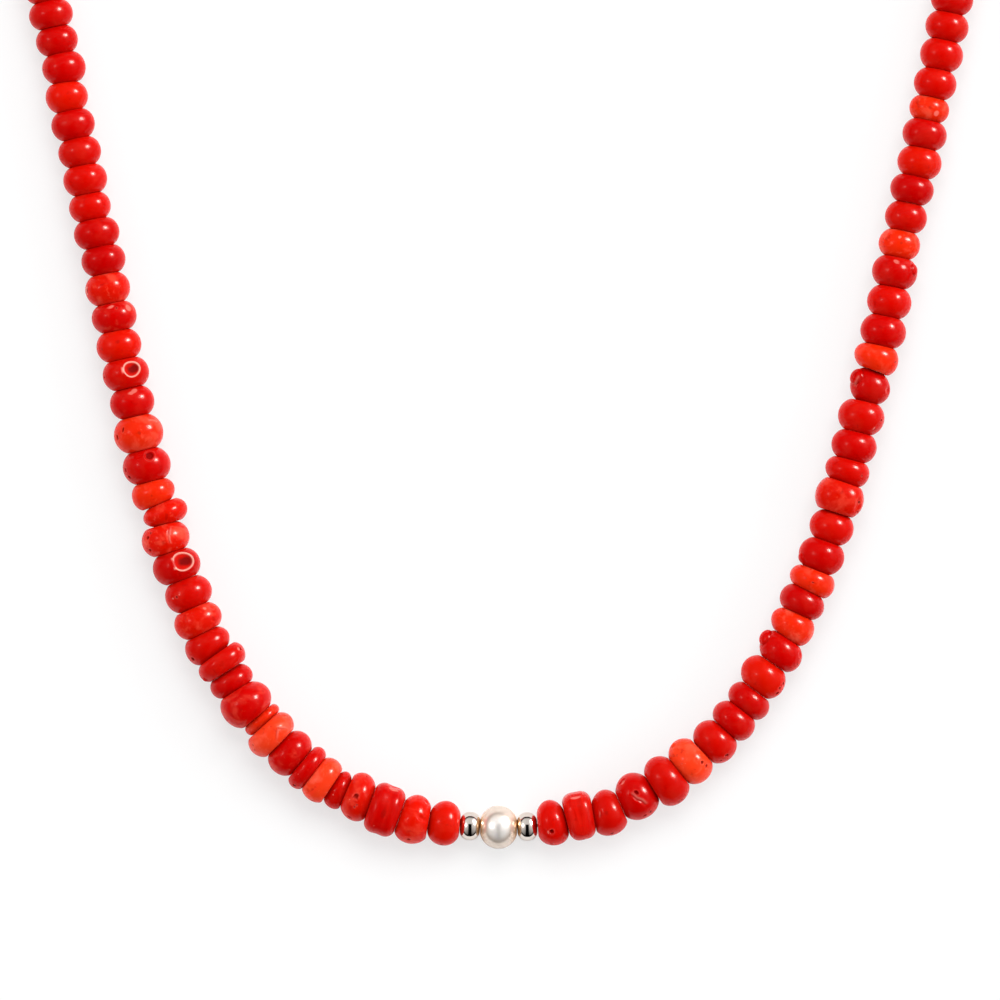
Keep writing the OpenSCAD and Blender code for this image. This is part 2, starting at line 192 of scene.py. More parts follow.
def left_beads() -> tuple[Bead, ...]:
    """The coral from the left spacer outwards, as far as the photograph shows it.

    Returns:
        One bead for each row, from the pearl.
    """
    return (
        Bead(4.4, 6.4, shade=VERMILION, bow=1.02, marks=(Mark(PIT, 0, -3.0, 0.2),)),
        Bead(4.1, 7.2, -0.2, -3, shade=VERMILION, cloudy=0.3, marks=(
            Mark(DENT, -1.1, 0.3, 1.3, 0.2, 0.6, 25), Mark(PIT, 0, -3.2, 0.28),
            Mark(PIT, 0, 3.1, 0.18, 0.08), Mark(CLOUD, -1.3, 2.6, 0.3), Mark(DENT, -1.3, 2.7, 0.7, 0.2))),
        Bead(4.5, 7.4, -0.15, 5, 1.4, 0.05, CRIMSON, 0.05, 0.15, square=0.15, marks=(
            Mark(CLOUD, -0.2, 3.0, 0.8, 0, 0.35), Mark(DENT, -0.2, 3.4, 1.4, 0.15, 1.0),
            Mark(SPOT, 0, -0.5, 0.9, 0, 0.4, 90), Mark(CLOUD, 0.7, -2.6, 0.12))),
        Bead(3.7, 7, 0, 6.9, shade=VERMILION, cloudy=0.3, marks=(
            Mark(PIT, 0.35, 0.1, 0.42, 0.3), Mark(PIT, -0.2, -1.0, 0.15), Mark(PIT, 0, -1.4, 0.14),
            Mark(CLOUD, 1.05, -0.75, 0.15), Mark(PIT, 0.1, -3.1, 0.5, 0.12, 0.2), Mark(PIT, 0, 3.2, 0.16))),
        Bead(2.1, 5.7, -0.5, shade=RED, marks=(Mark(CLOUD, 0.35, -1.4, 0.14),)),
        Bead(3.1, 6.9, -0.6, shade=ORANGE, cloudy=0.7, streaky=0.3, bow=1.4, square=0.2, marks=(
            Mark(PIT, -0.5, -3.6, 0.2),)),
        Bead(2.25, 7, -0.5, shade=CRIMSON, marks=(
            Mark(PIT, -0.1, -3.6, 0.28), Mark(CLOUD, 0.6, -0.45, 0.12), Mark(CLOUD, 0.5, -1.9, 0.12))),
        Bead(4, 7.1, -0.5, shade=CRIMSON, cloudy=0.25),
        Bead(3.35, 7.7, -0.45, shade=ORANGE, cloudy=0.8, marks=(
            Mark(CREASE, -0.7, 1.6, 1.0, 0.2, 0.16, -45), Mark(CREASE, -0.5, 0.1, 0.9, 0.2, 0.16, 55),
            Mark(PIT, 0.3, 3.0, 0.2), Mark(PIT, 0.1, -3.8, 0.28), Mark(PIT, 0.8, -3.4, 0.22))),
        Bead(1.5, 5.9, shade=SCARLET, cloudy=0.4),
        Bead(4.7, 7.7, -0.35, -3, shade=CRIMSON, cloudy=0.3, marks=(
            Mark(PIT, -0.1, -4.0, 0.4, 0.12, 0.2),)),
        Bead(2.9, 6.6, -0.15, shade=CRIMSON),
        Bead(2.85, 7.6, 0.2, 5.4, shade=RED, marks=(
            Mark(PIT, 0.1, 3.6, 0.3), Mark(CLOUD, 0.3, 3.3, 0.3), Mark(NUB, -0.75, -3.2, 0.5, 0.2),
            Mark(PIT, -0.3, -3.4, 0.25))),
        Bead(3.5, 6.8, -0.35, shade=RED, marks=(Mark(PIT, -0.6, -3.1, 0.3),)),
        Bead(3.75, 7.1, shade=VERMILION, cloudy=0.4, marks=(
            Mark(CLOUD, 1.2, 1.7, 0.3), Mark(DENT, 0.9, 2.7, 0.8, 0.15))),
        Bead(4.2, 6.8, 0.25, shade=RED, marks=(
            Mark(PIT, 0.17, -1.4, 0.18), Mark(CLOUD, 0.35, -0.9, 0.16), Mark(CLOUD, 0.17, -1.95, 0.17),
            Mark(DENT, 1.1, -2.8, 0.6, 0.15))),
        Bead(4.2, 6.9, 0.05, shade=CRIMSON, marks=(Mark(CUP, 0.42, 1.4, 1.5, 0.6),)),
        Bead(4, 7, -0.25, shade=VERMILION, cloudy=0.6, marks=(
            Mark(CREASE, 0.1, 0.35, 0.8, 0.12, 0.14, 8), Mark(CREASE, 1.0, 0.7, 0.5, 0.08, 0.16, 25),
            Mark(PIT, -0.95, -2.8, 0.26), Mark(PIT, 0.9, -2.6, 0.3), Mark(PIT, 1.4, -2.0, 0.2))),
        Bead(2.9, 6.6, 0.65, 6.6, shade=VERMILION, cloudy=0.4, crest=1.4),
        Bead(3.4, 6.4, -0.2, shade=SCARLET, cloudy=0.3, marks=(Mark(SPOT, -0.3, -0.4, 0.25),)),
        Bead(4.5, 6.9, -0.15, shade=CRIMSON, marks=(
            Mark(PIT, 1.3, 0.75, 0.75, 0.35, 0.6, 60), Mark(DENT, 1.5, -0.6, 0.9, 0.12, 0.3, 75),
            Mark(PIT, -1.0, -2.9, 0.3), Mark(PIT, 0.1, -3.2, 0.35, 0.12, 0.22))),
        Bead(4.8, 7.1, -0.15, shade=SCARLET, cloudy=0.5, marks=(
            Mark(CREASE, 1.3, 2.2, 0.9, 0.1, 0.12, -65), Mark(PIT, 1.0, -2.1, 0.42, 0.15, 0.18, 15),
            Mark(PIT, 0.15, -3.2, 0.4, 0.25, 0.28), Mark(SPOT, 0, 0.1, 0.3))),
        Bead(4.1, 6.4, -0.05, shade=CRIMSON, marks=(
            Mark(CLOUD, 1.5, 0.7, 0.65, 0, 0.35, 60), Mark(CLOUD, 1.3, 0.2, 0.35),
            Mark(PIT, 0.6, -2.9, 0.15))),
        Bead(4.1, 6.8, -0.05, shade=RED, marks=(
            Mark(CUP, 0.5, 1.2, 1.22, 0.5), Mark(PIT, 0.2, -3.1, 0.22))),
        Bead(4.1, 6.5, -0.15, shade=VERMILION, marks=(
            Mark(SPOT, 0.5, 0, 0.35), Mark(PIT, 0.7, -3.0, 0.13))),
        Bead(3.9, 6.6, 0.1, shade=CRIMSON, cloudy=0.3, marks=(
            Mark(DENT, 0.9, 2.5, 0.8, 0.2), Mark(CLOUD, 0.9, 2.5, 0.6),
            Mark(DENT, 1.4, 0.4, 0.9, 0.15, 0.4, 85), Mark(CLOUD, 1.45, 0.1, 0.6, 0, 0.25, 80),
            Mark(PIT, 1.2, 0.8, 0.2, 0.1), Mark(DENT, 1.4, -2.6, 0.6, 0.15))),
        Bead(4.2, 6.5, shade=VERMILION, cloudy=0.5, marks=(Mark(CUP, 0.35, -2.95, 0.5, 0.15, 0.3),)),
        Bead(3.9, 6.4, 0.2, shade=MAROON),
        Bead(3.9, 6.5, 0.05, shade=CRIMSON),
        Bead(3.7, 6.1, -0.15, shade=RED),
        Bead(4, 6.4, -0.05, shade=RED),
        Bead(3.9, 6.2, shade=RED),
        Bead(4, 6.3, -0.15, shade=CRIMSON),
        Bead(4, 6.2, -0.2, -3, shade=VERMILION, marks=(Mark(SPOT, 0.3, 0.6, 0.25),)),
        Bead(4.1, 6.3, 0.2, shade=CRIMSON, marks=(Mark(PIT, 0.2, -2.6, 0.2), Mark(PIT, -0.6, -2.5, 0.15))),
        Bead(3.8, 6, 0.05, shade=CRIMSON),
        Bead(3.7, 6.3, shade=CRIMSON),
    )


def right_beads() -> tuple[Bead, ...]:
    """The coral from the right spacer outwards, as far as the photograph shows it.

    Returns:
        One bead for each row, from the pearl.
    """
    return (
        Bead(4.1, 6.6, 0.25, 5, shade=RED, bow=1.02, marks=(
            Mark(PIT, -0.25, -0.95, 0.42, 0.3, 0.34, 60), Mark(CLOUD, -0.72, -0.95, 0.35, 0, 0.15, 90),
            Mark(CLOUD, -1.0, -0.45, 0.14), Mark(CLOUD, -0.6, -0.35, 0.14), Mark(PIT, -0.5, -2.8, 0.25))),
        Bead(3.9, 7, 0.55, -5, 1.45, 0, RED, 0.05, 0.3, square=0.35, marks=(
            Mark(DENT, 0, 3.4, 1.2, 0.15, 0.7), Mark(CLOUD, 0, 3.2, 0.8, 0, 0.4),
            Mark(PIT, -0.1, -2.7, 0.25))),
        Bead(4.1, 6.7, -0.05, shade=RED, marks=(
            Mark(SPOT, -0.25, 0.1, 0.35), Mark(CREASE, -1.1, 0.1, 0.35, 0.05, 0.12, 70),
            Mark(PIT, -0.3, -3.1, 0.22), Mark(PIT, 0.1, -2.8, 0.15))),
        Bead(5.1, 6.9, 0.45, shade=CRIMSON, marks=(
            Mark(PIT, 0.25, 1.0, 0.45, 0.3, 0.3, -50), Mark(CREASE, 0, -0.1, 1.2, 0.2, 0.22, -60),
            Mark(PIT, 0.7, -2.5, 0.26), Mark(PIT, -0.2, -2.6, 0.35, 0.15, 0.2, 15),
            Mark(DENT, -0.9, 3.3, 0.9, 0.2, 0.5), Mark(CLOUD, -0.9, 3.2, 0.5))),
        Bead(4.4, 7.6, 0.15, shade=RED, marks=(
            Mark(CLOUD, -0.97, -0.4, 0.2), Mark(PIT, -0.2, -3.4, 0.22), Mark(PIT, 0.25, -3.4, 0.18))),
        Bead(4.3, 7.1, 0.2, shade=ORANGE, cloudy=0.6, marks=(
            Mark(NUB, -0.4, 3.5, 0.4, 0.2), Mark(PIT, -1.2, 0.8, 0.13), Mark(CLOUD, -0.8, 0.5, 0.14),
            Mark(PIT, 1.2, -1.0, 0.28), Mark(PIT, 1.3, -1.85, 0.3), Mark(PIT, 0, -3.1, 0.16))),
        Bead(4.4, 6.7, -0.2, shade=RED, marks=(Mark(PIT, -0.2, -2.8, 0.3), Mark(PIT, -1.3, -2.7, 0.2))),
        Bead(3.6, 6.8, -0.2, shade=CRIMSON, marks=(Mark(PIT, -0.2, -3.1, 0.17),)),
        Bead(3.3, 6.5, -0.2, -3, shade=CRIMSON),
        Bead(4.5, 6.8, 0, -3.6, shade=VERMILION, marks=(
            Mark(PIT, -0.75, -2.9, 0.3), Mark(PIT, 0, -2.8, 0.22), Mark(PIT, 0.8, -2.9, 0.25))),
        Bead(4.1, 6.6, -0.35, -7.5, shade=CRIMSON, marks=(
            Mark(NUB, 0.5, 2.7, 1.2, 0.6), Mark(PIT, -0.2, -3.3, 0.15), Mark(DENT, 1.2, -2.9, 0.6, 0.15))),
        Bead(3.7, 6.7, -0.1, shade=SCARLET, cloudy=0.8, streaky=0.3, marks=(Mark(PIT, 0, -0.1, 0.12),)),
        Bead(3.5, 6.7, 0, -4, shade=MAROON),
        Bead(3.1, 6.7, -0.1, shade=SCARLET, cloudy=0.4, marks=(Mark(PIT, -0.25, -0.1, 0.13),)),
        Bead(4.3, 6.7, shade=CRIMSON, marks=(Mark(NUB, -1.4, 2.6, 0.85, 0.3),)),
        Bead(4.2, 6.4, -0.05, shade=RED),
        Bead(4.4, 7, 0.15, -3, shade=VERMILION, cloudy=0.3, streaky=0.05, bow=1.35, square=0.3, marks=(
            Mark(DENT, -0.2, -2.4, 1.3, 0.3, 0.8), Mark(PIT, 0.2, -2.55, 0.2),
            Mark(PIT, -1.1, -2.7, 0.25))),
        Bead(3.3, 6.5, 0.15, shade=RED, marks=(Mark(PIT, -0.1, -2.0, 0.18), Mark(PIT, -0.1, -2.8, 0.2))),
        Bead(4, 6.6, 0.15, shade=CRIMSON),
        Bead(4.4, 6.7, 0.15, shade=RED, marks=(
            Mark(PIT, 0.15, -2.7, 0.25), Mark(CLOUD, -1.2, -1.9, 0.35, 0, 0.15))),
        Bead(4.5, 5.9, -0.15, -8, shade=CRIMSON, marks=(
            Mark(NUB, 0.8, 2.3, 1.25, 0.6), Mark(CREASE, 0, 1.9, 0.7, 0.15, 0.15, -25),
            Mark(DENT, 0.2, -2.7, 0.8, 0.2))),
        Bead(3.6, 6.5, -0.05, shade=SCARLET, cloudy=0.4, marks=(Mark(PIT, 0.15, -2.75, 0.16),)),
        Bead(4.2, 6.7, -0.15, shade=CRIMSON),
        Bead(4.2, 6.5, -0.15, shade=RED),
        Bead(4.2, 6.5, shade=CRIMSON, marks=(
            Mark(NUB, 0.9, -2.65, 0.85, 0.3), Mark(CLOUD, 1.4, 0.2, 0.5, 0, 0.3, 70))),
        Bead(3.8, 6, 0.1, shade=SCARLET, cloudy=0.7, marks=(
            Mark(PIT, -0.3, 2.6, 0.15), Mark(SPOT, 0.1, 0, 0.3), Mark(CLOUD, 0.9, 0.4, 0.3))),
        Bead(4, 6.1, shade=RED),
        Bead(3.8, 6.3, shade=MAROON),
        Bead(4.1, 6.3, -0.25, shade=VERMILION),
        Bead(3.9, 6.4, -0.1, shade=CRIMSON, marks=(Mark(PIT, 0.35, -3.0, 0.17),)),
        Bead(3.3, 5.8, shade=SCARLET, cloudy=0.6, marks=(
            Mark(SPOT, 0.1, 0, 0.35), Mark(CLOUD, -0.6, -1.1, 0.5))),
        Bead(4, 6.1, -0.1, shade=RED),
        Bead(4.2, 6.3, -0.1, shade=RED),
        Bead(3.9, 6.2, -0.05, shade=RED),
        Bead(3.8, 6.2, 0.05, shade=CRIMSON),
    )


def run_along(x: np.ndarray, y: np.ndarray) -> np.ndarray:
    """The distance along a line of points, from 0 at its first."""
    return np.concatenate([[0.0], np.cumsum(np.hypot(np.diff(x), np.diff(y)))])


def clamp(values: np.ndarray) -> np.ndarray:
    """Values held between 0 and 1."""
    return np.clip(values, 0, 1)


def bell(values: np.ndarray) -> np.ndarray:
    """A soft peak, 1 at 0 and falling away to both sides."""
    return np.exp(-(values**2))


def put_in_scene(name: str, data: bpy.types.ID) -> bpy.types.Object:
    """Makes an object and links it to the scene.

    Args:
        name: Its name.
        data: Its mesh, lamp or camera.

    Returns:
        The object.
    """
    made = bpy.data.objects.new(name, data)
    bpy.context.scene.collection.objects.link(made)
    return made


@dataclass
class Route:
    """The line of the thread round the loop.

    Args:
        points: Places that it passes through, from the pearl.
        middle_y: Distance from the pearl to the middle of the loop's box.
        steps: Samples between two points.
        passes: Times that the guide points are drawn towards the curve.
        look: Distance to each side over which a direction is taken.
        line: The smooth line, worked out from these.
        miles: The distance along it.
    """

    points: tuple[tuple[float, float], ...] = WAY
    middle_y: float = MIDDLE_Y
    steps: int = ROUTE_STEPS
    passes: int = 4
    look: float = 0.6
    line: np.ndarray = field(init=False)
    miles: np.ndarray = field(init=False)

    def __post_init__(self) -> None:
        """Works out the smooth line and the distance along it."""
        way = np.array(self.points, float)
        guide = way.copy()
        for _ in range(self.passes):
            guide = guide + way - (np.roll(guide, 1, 0) + 4 * guide + np.roll(guide, -1, 0)) / 6
        t = np.linspace(0, 1, self.steps, endpoint=False)[:, None]
        weights = ((1 - t) ** 3, 3 * t**3 - 6 * t**2 + 4, -3 * t**3 + 3 * t**2 + 3 * t + 1, t**3)
        count = len(way)
        stretches = [
            sum(w * guide[(i + k - 1) % count] for k, w in enumerate(weights)) / 6 for i in range(count)
        ]
        line = np.vstack(stretches + [stretches[0][:1]])
        self.miles = run_along(*line.T)
        self.line = line - np.array([0.0, self.middle_y])

    @property
    def length(self) -> float:
        """The length of the whole loop."""
        return float(self.miles[-1])

    def place(self, s: float) -> np.ndarray:
        """The point of the route at a distance s from the pearl."""
        s = s % self.length
        return np.array([np.interp(s, self.miles, self.line[:, k]) for k in (0, 1)])

    def heading(self, s: float) -> float:
        """The direction of the route there, in radians from +X."""
        d = self.place(s + self.look) - self.place(s - self.look)
        return math.atan2(d[1], d[0])

    def at_point(self, index: int) -> float:
        """The distance at which the route passes one of its points."""
        return float(self.miles[index * self.steps])


@dataclass
class Surface:
    """A mesh in the making, with what its material reads at each vertex.

    Args:
        name: Name of the piece.
        slot: Material slot of the record; not used.
        places: Vertices of each shape in it.
        faces: Quads of each shape.
        maps: Texture coordinates of each shape.
        layers: Values at the vertices of each shape, by name.
        count: Vertices so far.
    """

    name: str
    slot: str
    places: list[np.ndarray] = field(default_factory=list)
    faces: list[np.ndarray] = field(default_factory=list)
    maps: list[np.ndarray] = field(default_factory=list)
    layers: dict[str, list[np.ndarray]] = field(default_factory=dict)
    count: int = 0

    def add(self, places: np.ndarray, faces: np.ndarray, maps: np.ndarray, **layers: np.ndarray) -> None:
        """Adds one closed shape.

        Args:
            places: Its vertices, in millimetres.
            faces: Its quads, as indexes into places.
            maps: Texture coordinates, one for each corner of each quad.
            layers: Four values at each of its vertices, by name.
        """
        self.places.append(places)
        self.faces.append(faces + self.count)
        self.maps.append(maps)
        for key, values in layers.items():
            self.layers.setdefault(key, []).append(values)
        self.count += len(places)

    def build(self, material: bpy.types.Material) -> bpy.types.Object:
        """Makes the Blender object.

        Args:
            material: Its finish.

        Returns:
            The object, riding on the one body.
        """
        places = np.vstack(self.places) * MM
        faces = np.vstack(self.faces)
        mesh = bpy.data.meshes.new(self.name)
        mesh.from_pydata(places.tolist(), [], faces.tolist())
        mesh.uv_layers.new(name="OFBake").data.foreach_set("uv", np.vstack(self.maps).ravel())
        for key, values in self.layers.items():
            data = np.vstack(values).astype(np.float32)
            mesh.attributes.new(key, "FLOAT_COLOR", "POINT").data.foreach_set("color", data.ravel())
        mesh.polygons.foreach_set("use_smooth", [True] * len(faces))
        mesh.update()
        mesh.materials.append(material)
        piece = put_in_scene(self.name, mesh)
        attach(piece, BODY)
        log.info("%s: %d faces", self.name, len(faces))
        return piece


def ring_faces(rows: int, columns: int) -> np.ndarray:
    """The quads of a closed torus-like grid whose rows and columns both wrap round.

    Args:
        rows: Number of rings along the outline.
        columns: Number of points in each ring.

    Returns:
        One row of four indexes for each quad.
    """
    i, j = np.meshgrid(np.arange(rows), np.arange(columns), indexing="ij")
    i2, j2 = (i + 1) % rows, (j + 1) % columns
    quads = np.stack([i * columns + j, i * columns + j2, i2 * columns + j2, i2 * columns + j], -1)
    return quads.reshape(-1, 4)


def map_cell(index: int, side: int, edge: float) -> Cell:
    """One cell of a square texture map.

    Args:
        index: Which cell, counted along the rows.
        side: Cells in a row.
        edge: Share of the cell that stays free at each of its sides.

    Returns:
        Its left, bottom, width and height.
    """
    inside = (1 - 2 * edge) / side
    return (index % side + edge) / side, (index // side + edge) / side, inside, inside


def ring_map(run: np.ndarray, angles: np.ndarray, cell: Cell) -> np.ndarray:
    """Texture coordinates of such a grid, laid out flat in one cell of the map.

    Args:
        run: Distance along the outline at each ring.
        angles: Angle at each column.
        cell: Left, bottom, width and height of the cell.

    Returns:
        One row for each corner of each quad, in the order of ring_faces.
    """
    left, low, width, height = cell
    v, u = run / (run[-1] * MAP_CLOSING), angles / FULL_TURN
    v_next, u_next = np.append(v[1:], 1.0), np.append(u[1:], 1.0)
    shape = (len(v), len(u))
    flat = [
        np.stack([left + width * np.broadcast_to(across[None, :], shape),
                  low + height * np.broadcast_to(up[:, None], shape)], -1)
        for up, across in ((v, u), (v, u_next), (v_next, u_next), (v_next, u))
    ]
    return np.stack(flat, 2).reshape(-1, 2)


def spaced(high: float, count: int, spots: list[tuple[float, float, float]]) -> np.ndarray:
    """Numbers from 0 to under high, closer together near some spots.

    Args:
        high: End of the range, which isn't included.
        count: How many numbers.
        spots: Middle and reach of each place that needs more of them, and how many times more.

    Returns:
        The numbers, rising.
    """
    line = np.linspace(0, high, SPACING_SAMPLES)
    density = np.ones_like(line)
    for middle, near, times in spots:
        density = np.maximum(density, 1 + (times - 1) * np.exp(-(((line - middle) / near) ** 4)))
    total = np.concatenate([[0.0], np.cumsum((density[1:] + density[:-1]) / 2)])
    return np.interp(np.linspace(0, total[-1], count, endpoint=False), total, line)


@dataclass(frozen=True)
class Carving:
    """How the marks shape and tint a bead.

    Widths named with _mm are in millimetres. The other places and widths are shares of the mark's size, or
    for a crease of half its width.

    Args:
        lumps: How far a mark's outline waves, twice and three times in a turn.
        pit_painted_shade: Share of painted shade down in a worm hole.
        pit_walls: How steeply that begins at its edge.
        pit_painted_highlight: Share of painted highlight on its lip.
        pit_highlight_at: Where that is strongest.
        pit_highlight_mm: Its width.
        cup_lip: Pale share of a cup's rim.
        cup_lip_mm: Its width.
        cup_floor: Middle of its dark floor, away from the pearl and towards the inside.
        cup_dark: Dark share there, before it is held at 1.
        cup_fade: How fast that falls outwards.
        nub_round: How full a nub's form is, as a power.
        nub_painted_shade: Share of painted shade round its foot.
        nub_shade_mm: Its width.
        crease_bend: How far a crease winds to each side.
        crease_waves: How closely it winds, in radians to a millimetre.
        crease_ends: How closely it keeps to the surface.
        crease_painted_shade: Share of painted shade along its groove.
        crease_shade_wide: Its width.
        crease_painted_highlight: Share of painted highlight on its lips.
        crease_highlight_at: Where that is strongest.
        crease_highlight_wide: Its width.
        cloud_pale: Pale share of a cloud.
        spot_dark: Dark share of a spot.
    """

    lumps: tuple[float, float] = (0.05, 0.025)
    pit_painted_shade: float = 0.85
    pit_walls: float = 2.5
    pit_painted_highlight: float = 0.07
    pit_highlight_at: float = 1.25
    pit_highlight_mm: float = 0.08
    cup_lip: float = 1.15
    cup_lip_mm: float = 0.07
    cup_floor: tuple[float, float] = (-0.05, 0.22)
    cup_dark: float = 2.3
    cup_fade: float = 2.9
    nub_round: float = 0.6
    nub_painted_shade: float = 0.18
    nub_shade_mm: float = 0.1
    crease_bend: float = 0.25
    crease_waves: float = 4.0
    crease_ends: float = 0.5
    crease_painted_shade: float = 0.4
    crease_shade_wide: float = 0.6
    crease_painted_highlight: float = 0.35
    crease_highlight_at: float = 1.3
    crease_highlight_wide: float = 0.8
    cloud_pale: float = 0.36
    spot_dark: float = 0.35


@dataclass(frozen=True)
class Spot:
    """Where a mark lies on a bead.

    Args:
        middle: Its middle, from the bead's own.
        run: Its distance along the bead's outline.
        angle: Its angle from the top.
        near: How far the mesh is finer round it.
    """

    middle: Point
    run: float
    angle: float
    near: float


@dataclass
class BeadShape:
    """Works out the surface of one bead between its two neighbours.

    Args:
        bead: Its chart row.
        route: The thread's line.
        start: Where its nearer end is, by distance along the thread.
        hand: 1 up the right side and -1 up the left.
        tilts: Lean of the ends nearer to the pearl and further from it, in degrees.
        seed: Number that sets its own small differences.
        gap: Distance that it keeps from its neighbours.
        face_dip: How far its ends fall from their edges to the hole.
        hole_soft: Distance from the hole over which its own form comes in.
        flattest: Greatest share by which its top and bottom are flattened.
        lumpiest: Greatest share of each wave of its section.
        waves: Waves in a turn.
        steepest: Greatest share by which one end is thicker.
        corner_most: Greatest radius of its edges, as a share of half its length.
        side_deep: Depth below its full width at which its side begins, for the mesh.
        side_finer: How many times finer the rings are there.
        near_mark: How far the mesh is finer round a mark, by its size and more.
        mark_rings: Rings that a mark adds, and more for each millimetre of that reach.
        mark_columns: Points in each ring that a mark adds, counted the same way.
        mark_finer: How many times finer the rings and the columns are at a mark.
        grain_spread: How far its place in the stone's clouds is moved, to each side.
        shade_spread: Greatest share by which its colour is stronger or weaker.
        carving: How its marks are carved.
    """

    bead: Bead
    route: Route
    start: float
    hand: int
    tilts: tuple[float, float]
    seed: int
    gap: float = 0.003
    face_dip: float = 0.04
    hole_soft: float = 0.8
    flattest: float = 0.03
    lumpiest: float = 0.010
    waves: tuple[int, ...] = (2, 3, 5)
    steepest: float = 0.02
    corner_most: float = 0.6
    side_deep: float = 1.5
    side_finer: float = 2.5
    near_mark: tuple[float, float] = (1.25, 0.15)
    mark_rings: tuple[int, int] = (4, 6)
    mark_columns: tuple[int, int] = (3, 20)
    mark_finer: tuple[float, float] = (9.0, 8.0)
    grain_spread: float = 40.0
    shade_spread: float = 0.05
    carving: Carving = Carving()

    def outline(self) -> tuple[np.ndarray, np.ndarray]:
        """Half of the section through the bead, from one end of its hole round to the other.

        Returns:
            Distances along the thread and distances from it, as dense lists.
        """
        half, radius = self.bead.pitch / 2, self.bead.wide / 2
        if self.bead.edge:
            round_end, lean_at = self.bead.edge, 0.0
            x = np.linspace(0, half - round_end, SIDE_STEPS)
            r = radius - self.bead.waist * np.cos(np.linspace(0, QUARTER_TURN, SIDE_STEPS)) ** 2
            core = radius - round_end
        else:
            round_end = min(self.bead.corner, self.corner_most * half)
            arc = self.bead.bow * half
            lean_at = math.asin((half - round_end) / (arc - round_end))
            turn = np.linspace(0, lean_at, SIDE_STEPS)
            x, r = arc * np.sin(turn), radius - arc + arc * np.cos(turn)
            core = radius - arc + (arc - round_end) * math.cos(lean_at)
        turn = np.linspace(lean_at, QUARTER_TURN, EDGE_STEPS)[1:]
        end_x = half - round_end + round_end * np.sin(turn)
        end_r = core + round_end * np.cos(turn)
        face = np.linspace(0, 1, FACE_STEPS)[1:]
        face_x, face_r = half - self.face_dip * face, core + (BORE - core) * face
        side_x, side_r = np.concatenate([x, end_x, face_x]), np.concatenate([r, end_r, face_r])
        side_r = np.maximum(radius - (radius - side_r) * self.bead.crest, BORE)
        return np.concatenate([-side_x[:0:-1], side_x]), np.concatenate([side_r[:0:-1], side_r])

    def spot(self, mark: Mark, xs: np.ndarray, rs: np.ndarray, run: np.ndarray) -> Spot:
        """Where a mark lies on the bead, clear of the faces that end the outline.

        Args:
            mark: The mark.
            xs: Outline's distances along the thread.
            rs: Outline's distances from it.
            run: Distance along the outline.

        Returns:
            Its place.
        """
        sides = xs[FACE_STEPS:-FACE_STEPS]
        place = FACE_STEPS + int(np.argmin(np.abs(sides - self.hand * mark.along)))
        r = rs[place]
        angle = math.asin(float(np.clip((mark.across - self.bead.shift) / r, -1, 1)))
        middle = (xs[place], r * math.sin(angle), r * math.cos(angle))
        return Spot(middle, run[place], angle, self.near_mark[0] * mark.size + self.near_mark[1])

    def grid(
        self, rings: int, columns: int, spots: list[Spot], rs: np.ndarray, run: np.ndarray,
    ) -> tuple[np.ndarray, np.ndarray]:
        """Where the lines of the mesh lie, closer together at the bead's side and at marks.

        Args:
            rings: Rings along the outline, before those that the marks add.
            columns: Points round each ring, before those that the marks add.
            spots: Where the marks are.
            rs: Outline's distances from the thread.
            run: Distance along the outline.

        Returns:
            Distances along the outline, and angles from the top.
        """
        radius, middle = self.bead.wide / 2, run[-1] / 2
        more_rings, more_columns = (
            round(sum(least + by_reach * spot.near for spot in spots))
            for least, by_reach in (self.mark_rings, self.mark_columns)
        )
        side = middle - run[int(np.argmax(rs > radius - self.side_deep))]
        dense = [(middle, side, self.side_finer)]
        dense += [(spot.run, spot.near, self.mark_finer[0]) for spot in spots]
        v = spaced(run[-1], rings + more_rings, dense)
        dense = [(spot.angle % FULL_TURN, spot.near / radius, self.mark_finer[1]) for spot in spots]
        u = spaced(FULL_TURN, columns + more_columns, dense)
        return np.append(v, run[-1]), u

    def surface(self, cell: Cell, rings: int, columns: int) -> dict[str, np.ndarray]:
        """The bead's mesh.

        Args:
            cell: Where it lies in the texture map.
            rings: Rings along its outline.
            columns: Points round each ring.

        Returns:
            Places, faces, maps, and the values that the coral finish reads.
        """
        dice = np.random.default_rng(self.seed)
        bead = self.bead
        xs, rs = self.outline()
        run = run_along(xs, rs)
        spots = [self.spot(mark, xs, rs, run) for mark in bead.marks]
        v, u = self.grid(rings, columns, spots, rs, run)
        x, r = np.interp(v, run, xs)[:, None], np.interp(v, run, rs)[:, None]
        normal_r, normal_x = np.gradient(x[:, 0], v)[:, None], -np.gradient(r[:, 0], v)[:, None]
        flat = dice.uniform(0.0, self.flattest)
        power = 2 + 2 * bead.square
        trim = (np.abs(np.cos(u)) ** power + np.abs(np.sin(u)) ** power) ** (-1 / power)
        trim = trim * (1 - flat * np.cos(u) ** 2)
        for waves in self.waves:
            deep = dice.uniform(0.0, self.lumpiest)
            trim = trim - deep * (1 - np.cos(waves * u - dice.uniform(0, FULL_TURN)))
        taper = dice.uniform(-self.steepest, self.steepest)
        outer = clamp((r - BORE) / self.hole_soft)
        reach = r * (1 + (trim[None, :] * (1 - abs(taper) + taper * x / xs.max()) - 1) * outer)
        middle = bead.wide / 2 * (1 - flat)
        y = -bead.shift * (1 - outer) + reach * np.sin(u)[None, :]
        z = (THREAD_HIGH - middle) * (1 - outer) + reach * np.cos(u)[None, :]
        places = np.stack([np.broadcast_to(x, y.shape), y, z], -1)
        normals = [np.broadcast_to(normal_x, y.shape), normal_r * np.sin(u), normal_r * np.cos(u)]
        normals = np.stack(normals, -1)
        normals /= np.maximum(np.linalg.norm(normals, axis=-1, keepdims=True), 1e-9)
        grain = np.ones(places.shape[:2] + (4,))
        grain[..., :3] = places + dice.uniform(-self.grain_spread, self.grain_spread, 3)
        tint = np.zeros_like(grain)
        tint[..., 3] = 1
        for mark, spot in zip(bead.marks, spots):
